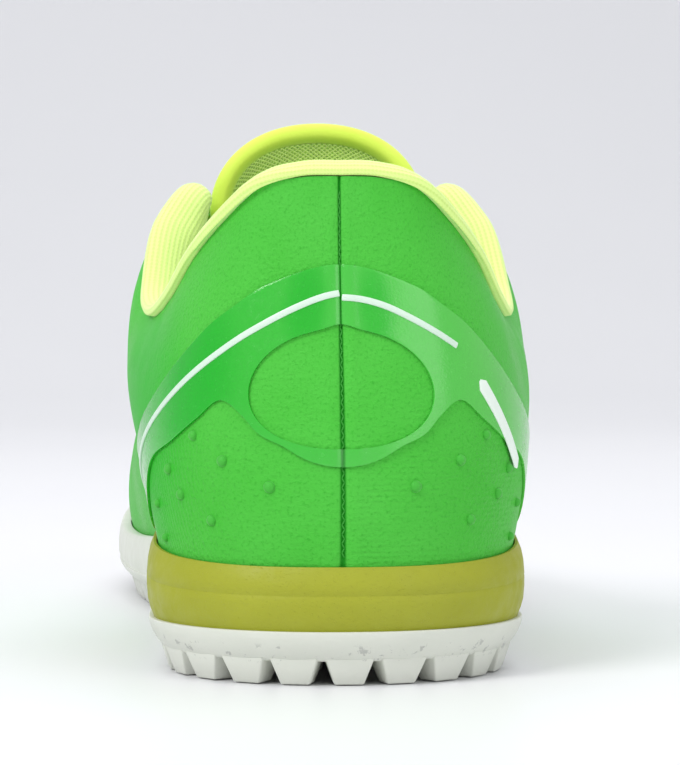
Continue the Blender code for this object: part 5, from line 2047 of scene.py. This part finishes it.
def build_shoe():
    """Every piece of the shoe with its finish."""
    skin = green_skin()
    film = green_film()
    rubber = white_rubber()
    line_white = white_print("line_print", linear(202, 226, 206), linear(214, 234, 218))
    bar_white = white_print("bar_print", linear(226, 242, 228), linear(240, 248, 240))
    stay_thread = thread("green_thread", linear(40, 150, 38), linear(70, 190, 62))
    seam_thread = thread("seam_thread", linear(34, 140, 32), linear(52, 168, 46))
    # The domes' green is darker than the skin round them: painted shade
    dome_painted_shade = thread("dome_painted_shade", linear(56, 170, 44), linear(68, 182, 56))

    upper = make_upper(skin, soft_lining())
    stay = make_eyestay()
    cut_eyelets((upper, stay))
    for piece in (upper, stay):
        finished(piece, skin)
    finished(make_eyelet_rims(), film)
    finished(make_film(), film, angle=50)
    finished(make_domes(), dome_painted_shade)
    finished(make_seam_stitches(), seam_thread)
    finished(make_stay_stitches(), stay_thread)
    finished(make_line("inner_line", INNER_LINE), line_white)
    finished(make_line("outer_line", OUTER_LINE), line_white)
    finished(make_white_bar(), bar_white)
    finished(make_collar(), ribbed_knit(), angle=60)
    finished(make_tongue(), open_mesh(), angle=60)
    finished(make_tongue_rim(), smooth_binding(), angle=60)
    finished(make_laces(), lace_weave(), angle=60)
    finished(make_insole(), woven_lining(), angle=60)
    finished(make_midsole(), olive_foam())
    finished(make_outsole(), rubber)
    finished(make_lugs(), rubber)


# The studio

# The sweep: level run, rise behind, where it bends up and how round, width, how far under the lugs
SWEEP_RUN = 7.0
SWEEP_RISE = 5.0
SWEEP_BEND_START = 1.2
SWEEP_RADIUS = 1.6
SWEEP_WIDTH = 9
SWEEP_DROP = 0.0002
SKY = linear(246, 248, 252)
SKY_STRENGTH = 0.56
LAMP_AIM = Vector((0, 0, 0.05))
CAMERA_PLACE = Vector((-0.0337, -0.6008, 0.0714))
CAMERA_AIM = Vector((0.0005, -0.06, 0.0550))
CAMERA_LENS = 152

# Soft square lamps
Lamp = namedtuple("Lamp", "name place size power")
LAMPS = [
    Lamp("key", (-1.2, -1.2, 1.5), 0.9, 25),
    Lamp("fill", (1.6, -1.6, 0.9), 1.6, 11),
    Lamp("top", (0.1, 0.2, 2.0), 2.0, 26),
]


def make_sweep():
    """A pale sweep that runs from under the shoe up into the background."""
    deselect_all()
    bpy.ops.mesh.primitive_grid_add(x_subdivisions=2, y_subdivisions=64, size=1)
    sweep = bpy.context.object
    sweep.name = "studio_sweep"
    for vertex in sweep.data.vertices:
        run = (vertex.co.y + 0.5) * (SWEEP_RUN + SWEEP_RISE) - SWEEP_RUN / 2
        bend = max(0.0, run - SWEEP_BEND_START)
        turn = min(math.pi / 2, bend / SWEEP_RADIUS)
        straight = max(0.0, bend - SWEEP_RADIUS * math.pi / 2)
        level_run = min(run, SWEEP_BEND_START) + SWEEP_RADIUS * math.sin(turn)
        height = SWEEP_RADIUS * (1 - math.cos(turn)) + straight - SWEEP_DROP
        vertex.co = (vertex.co.x * SWEEP_WIDTH, level_run, height)
    sweep.data.materials.append(studio_floor())
    bpy.ops.object.shade_smooth()


def make_light():
    """A plain pale sky and three soft lamps."""
    world = bpy.context.scene.world or bpy.data.worlds.new("studio")
    bpy.context.scene.world = world
    world.use_nodes = True
    background = world.node_tree.nodes["Background"]
    background.inputs["Color"].default_value = SKY
    background.inputs["Strength"].default_value = SKY_STRENGTH
    for row in LAMPS:
        deselect_all()
        bpy.ops.object.light_add(type="AREA", location=row.place)
        lamp = bpy.context.object
        lamp.name = row.name
        lamp.data.size = row.size
        lamp.data.energy = row.power
        lamp.rotation_euler = (LAMP_AIM - Vector(row.place)).to_track_quat("-Z", "Y").to_euler()


def make_camera():
    """The photograph's viewing angle: level, from behind and a little to the inner side."""
    place = CAMERA_PLACE + SHIFT
    deselect_all()
    bpy.ops.object.camera_add(location=place)
    camera = bpy.context.object
    camera.name = "camera"
    camera.data.sensor_width = 36
    camera.data.lens = CAMERA_LENS
    camera.rotation_euler = (CAMERA_AIM - place).to_track_quat("-Z", "Y").to_euler()
    bpy.context.scene.camera = camera


build_shoe()
make_sweep()
make_light()
make_camera()
bpy.context.scene.view_settings.view_transform = "Standard"
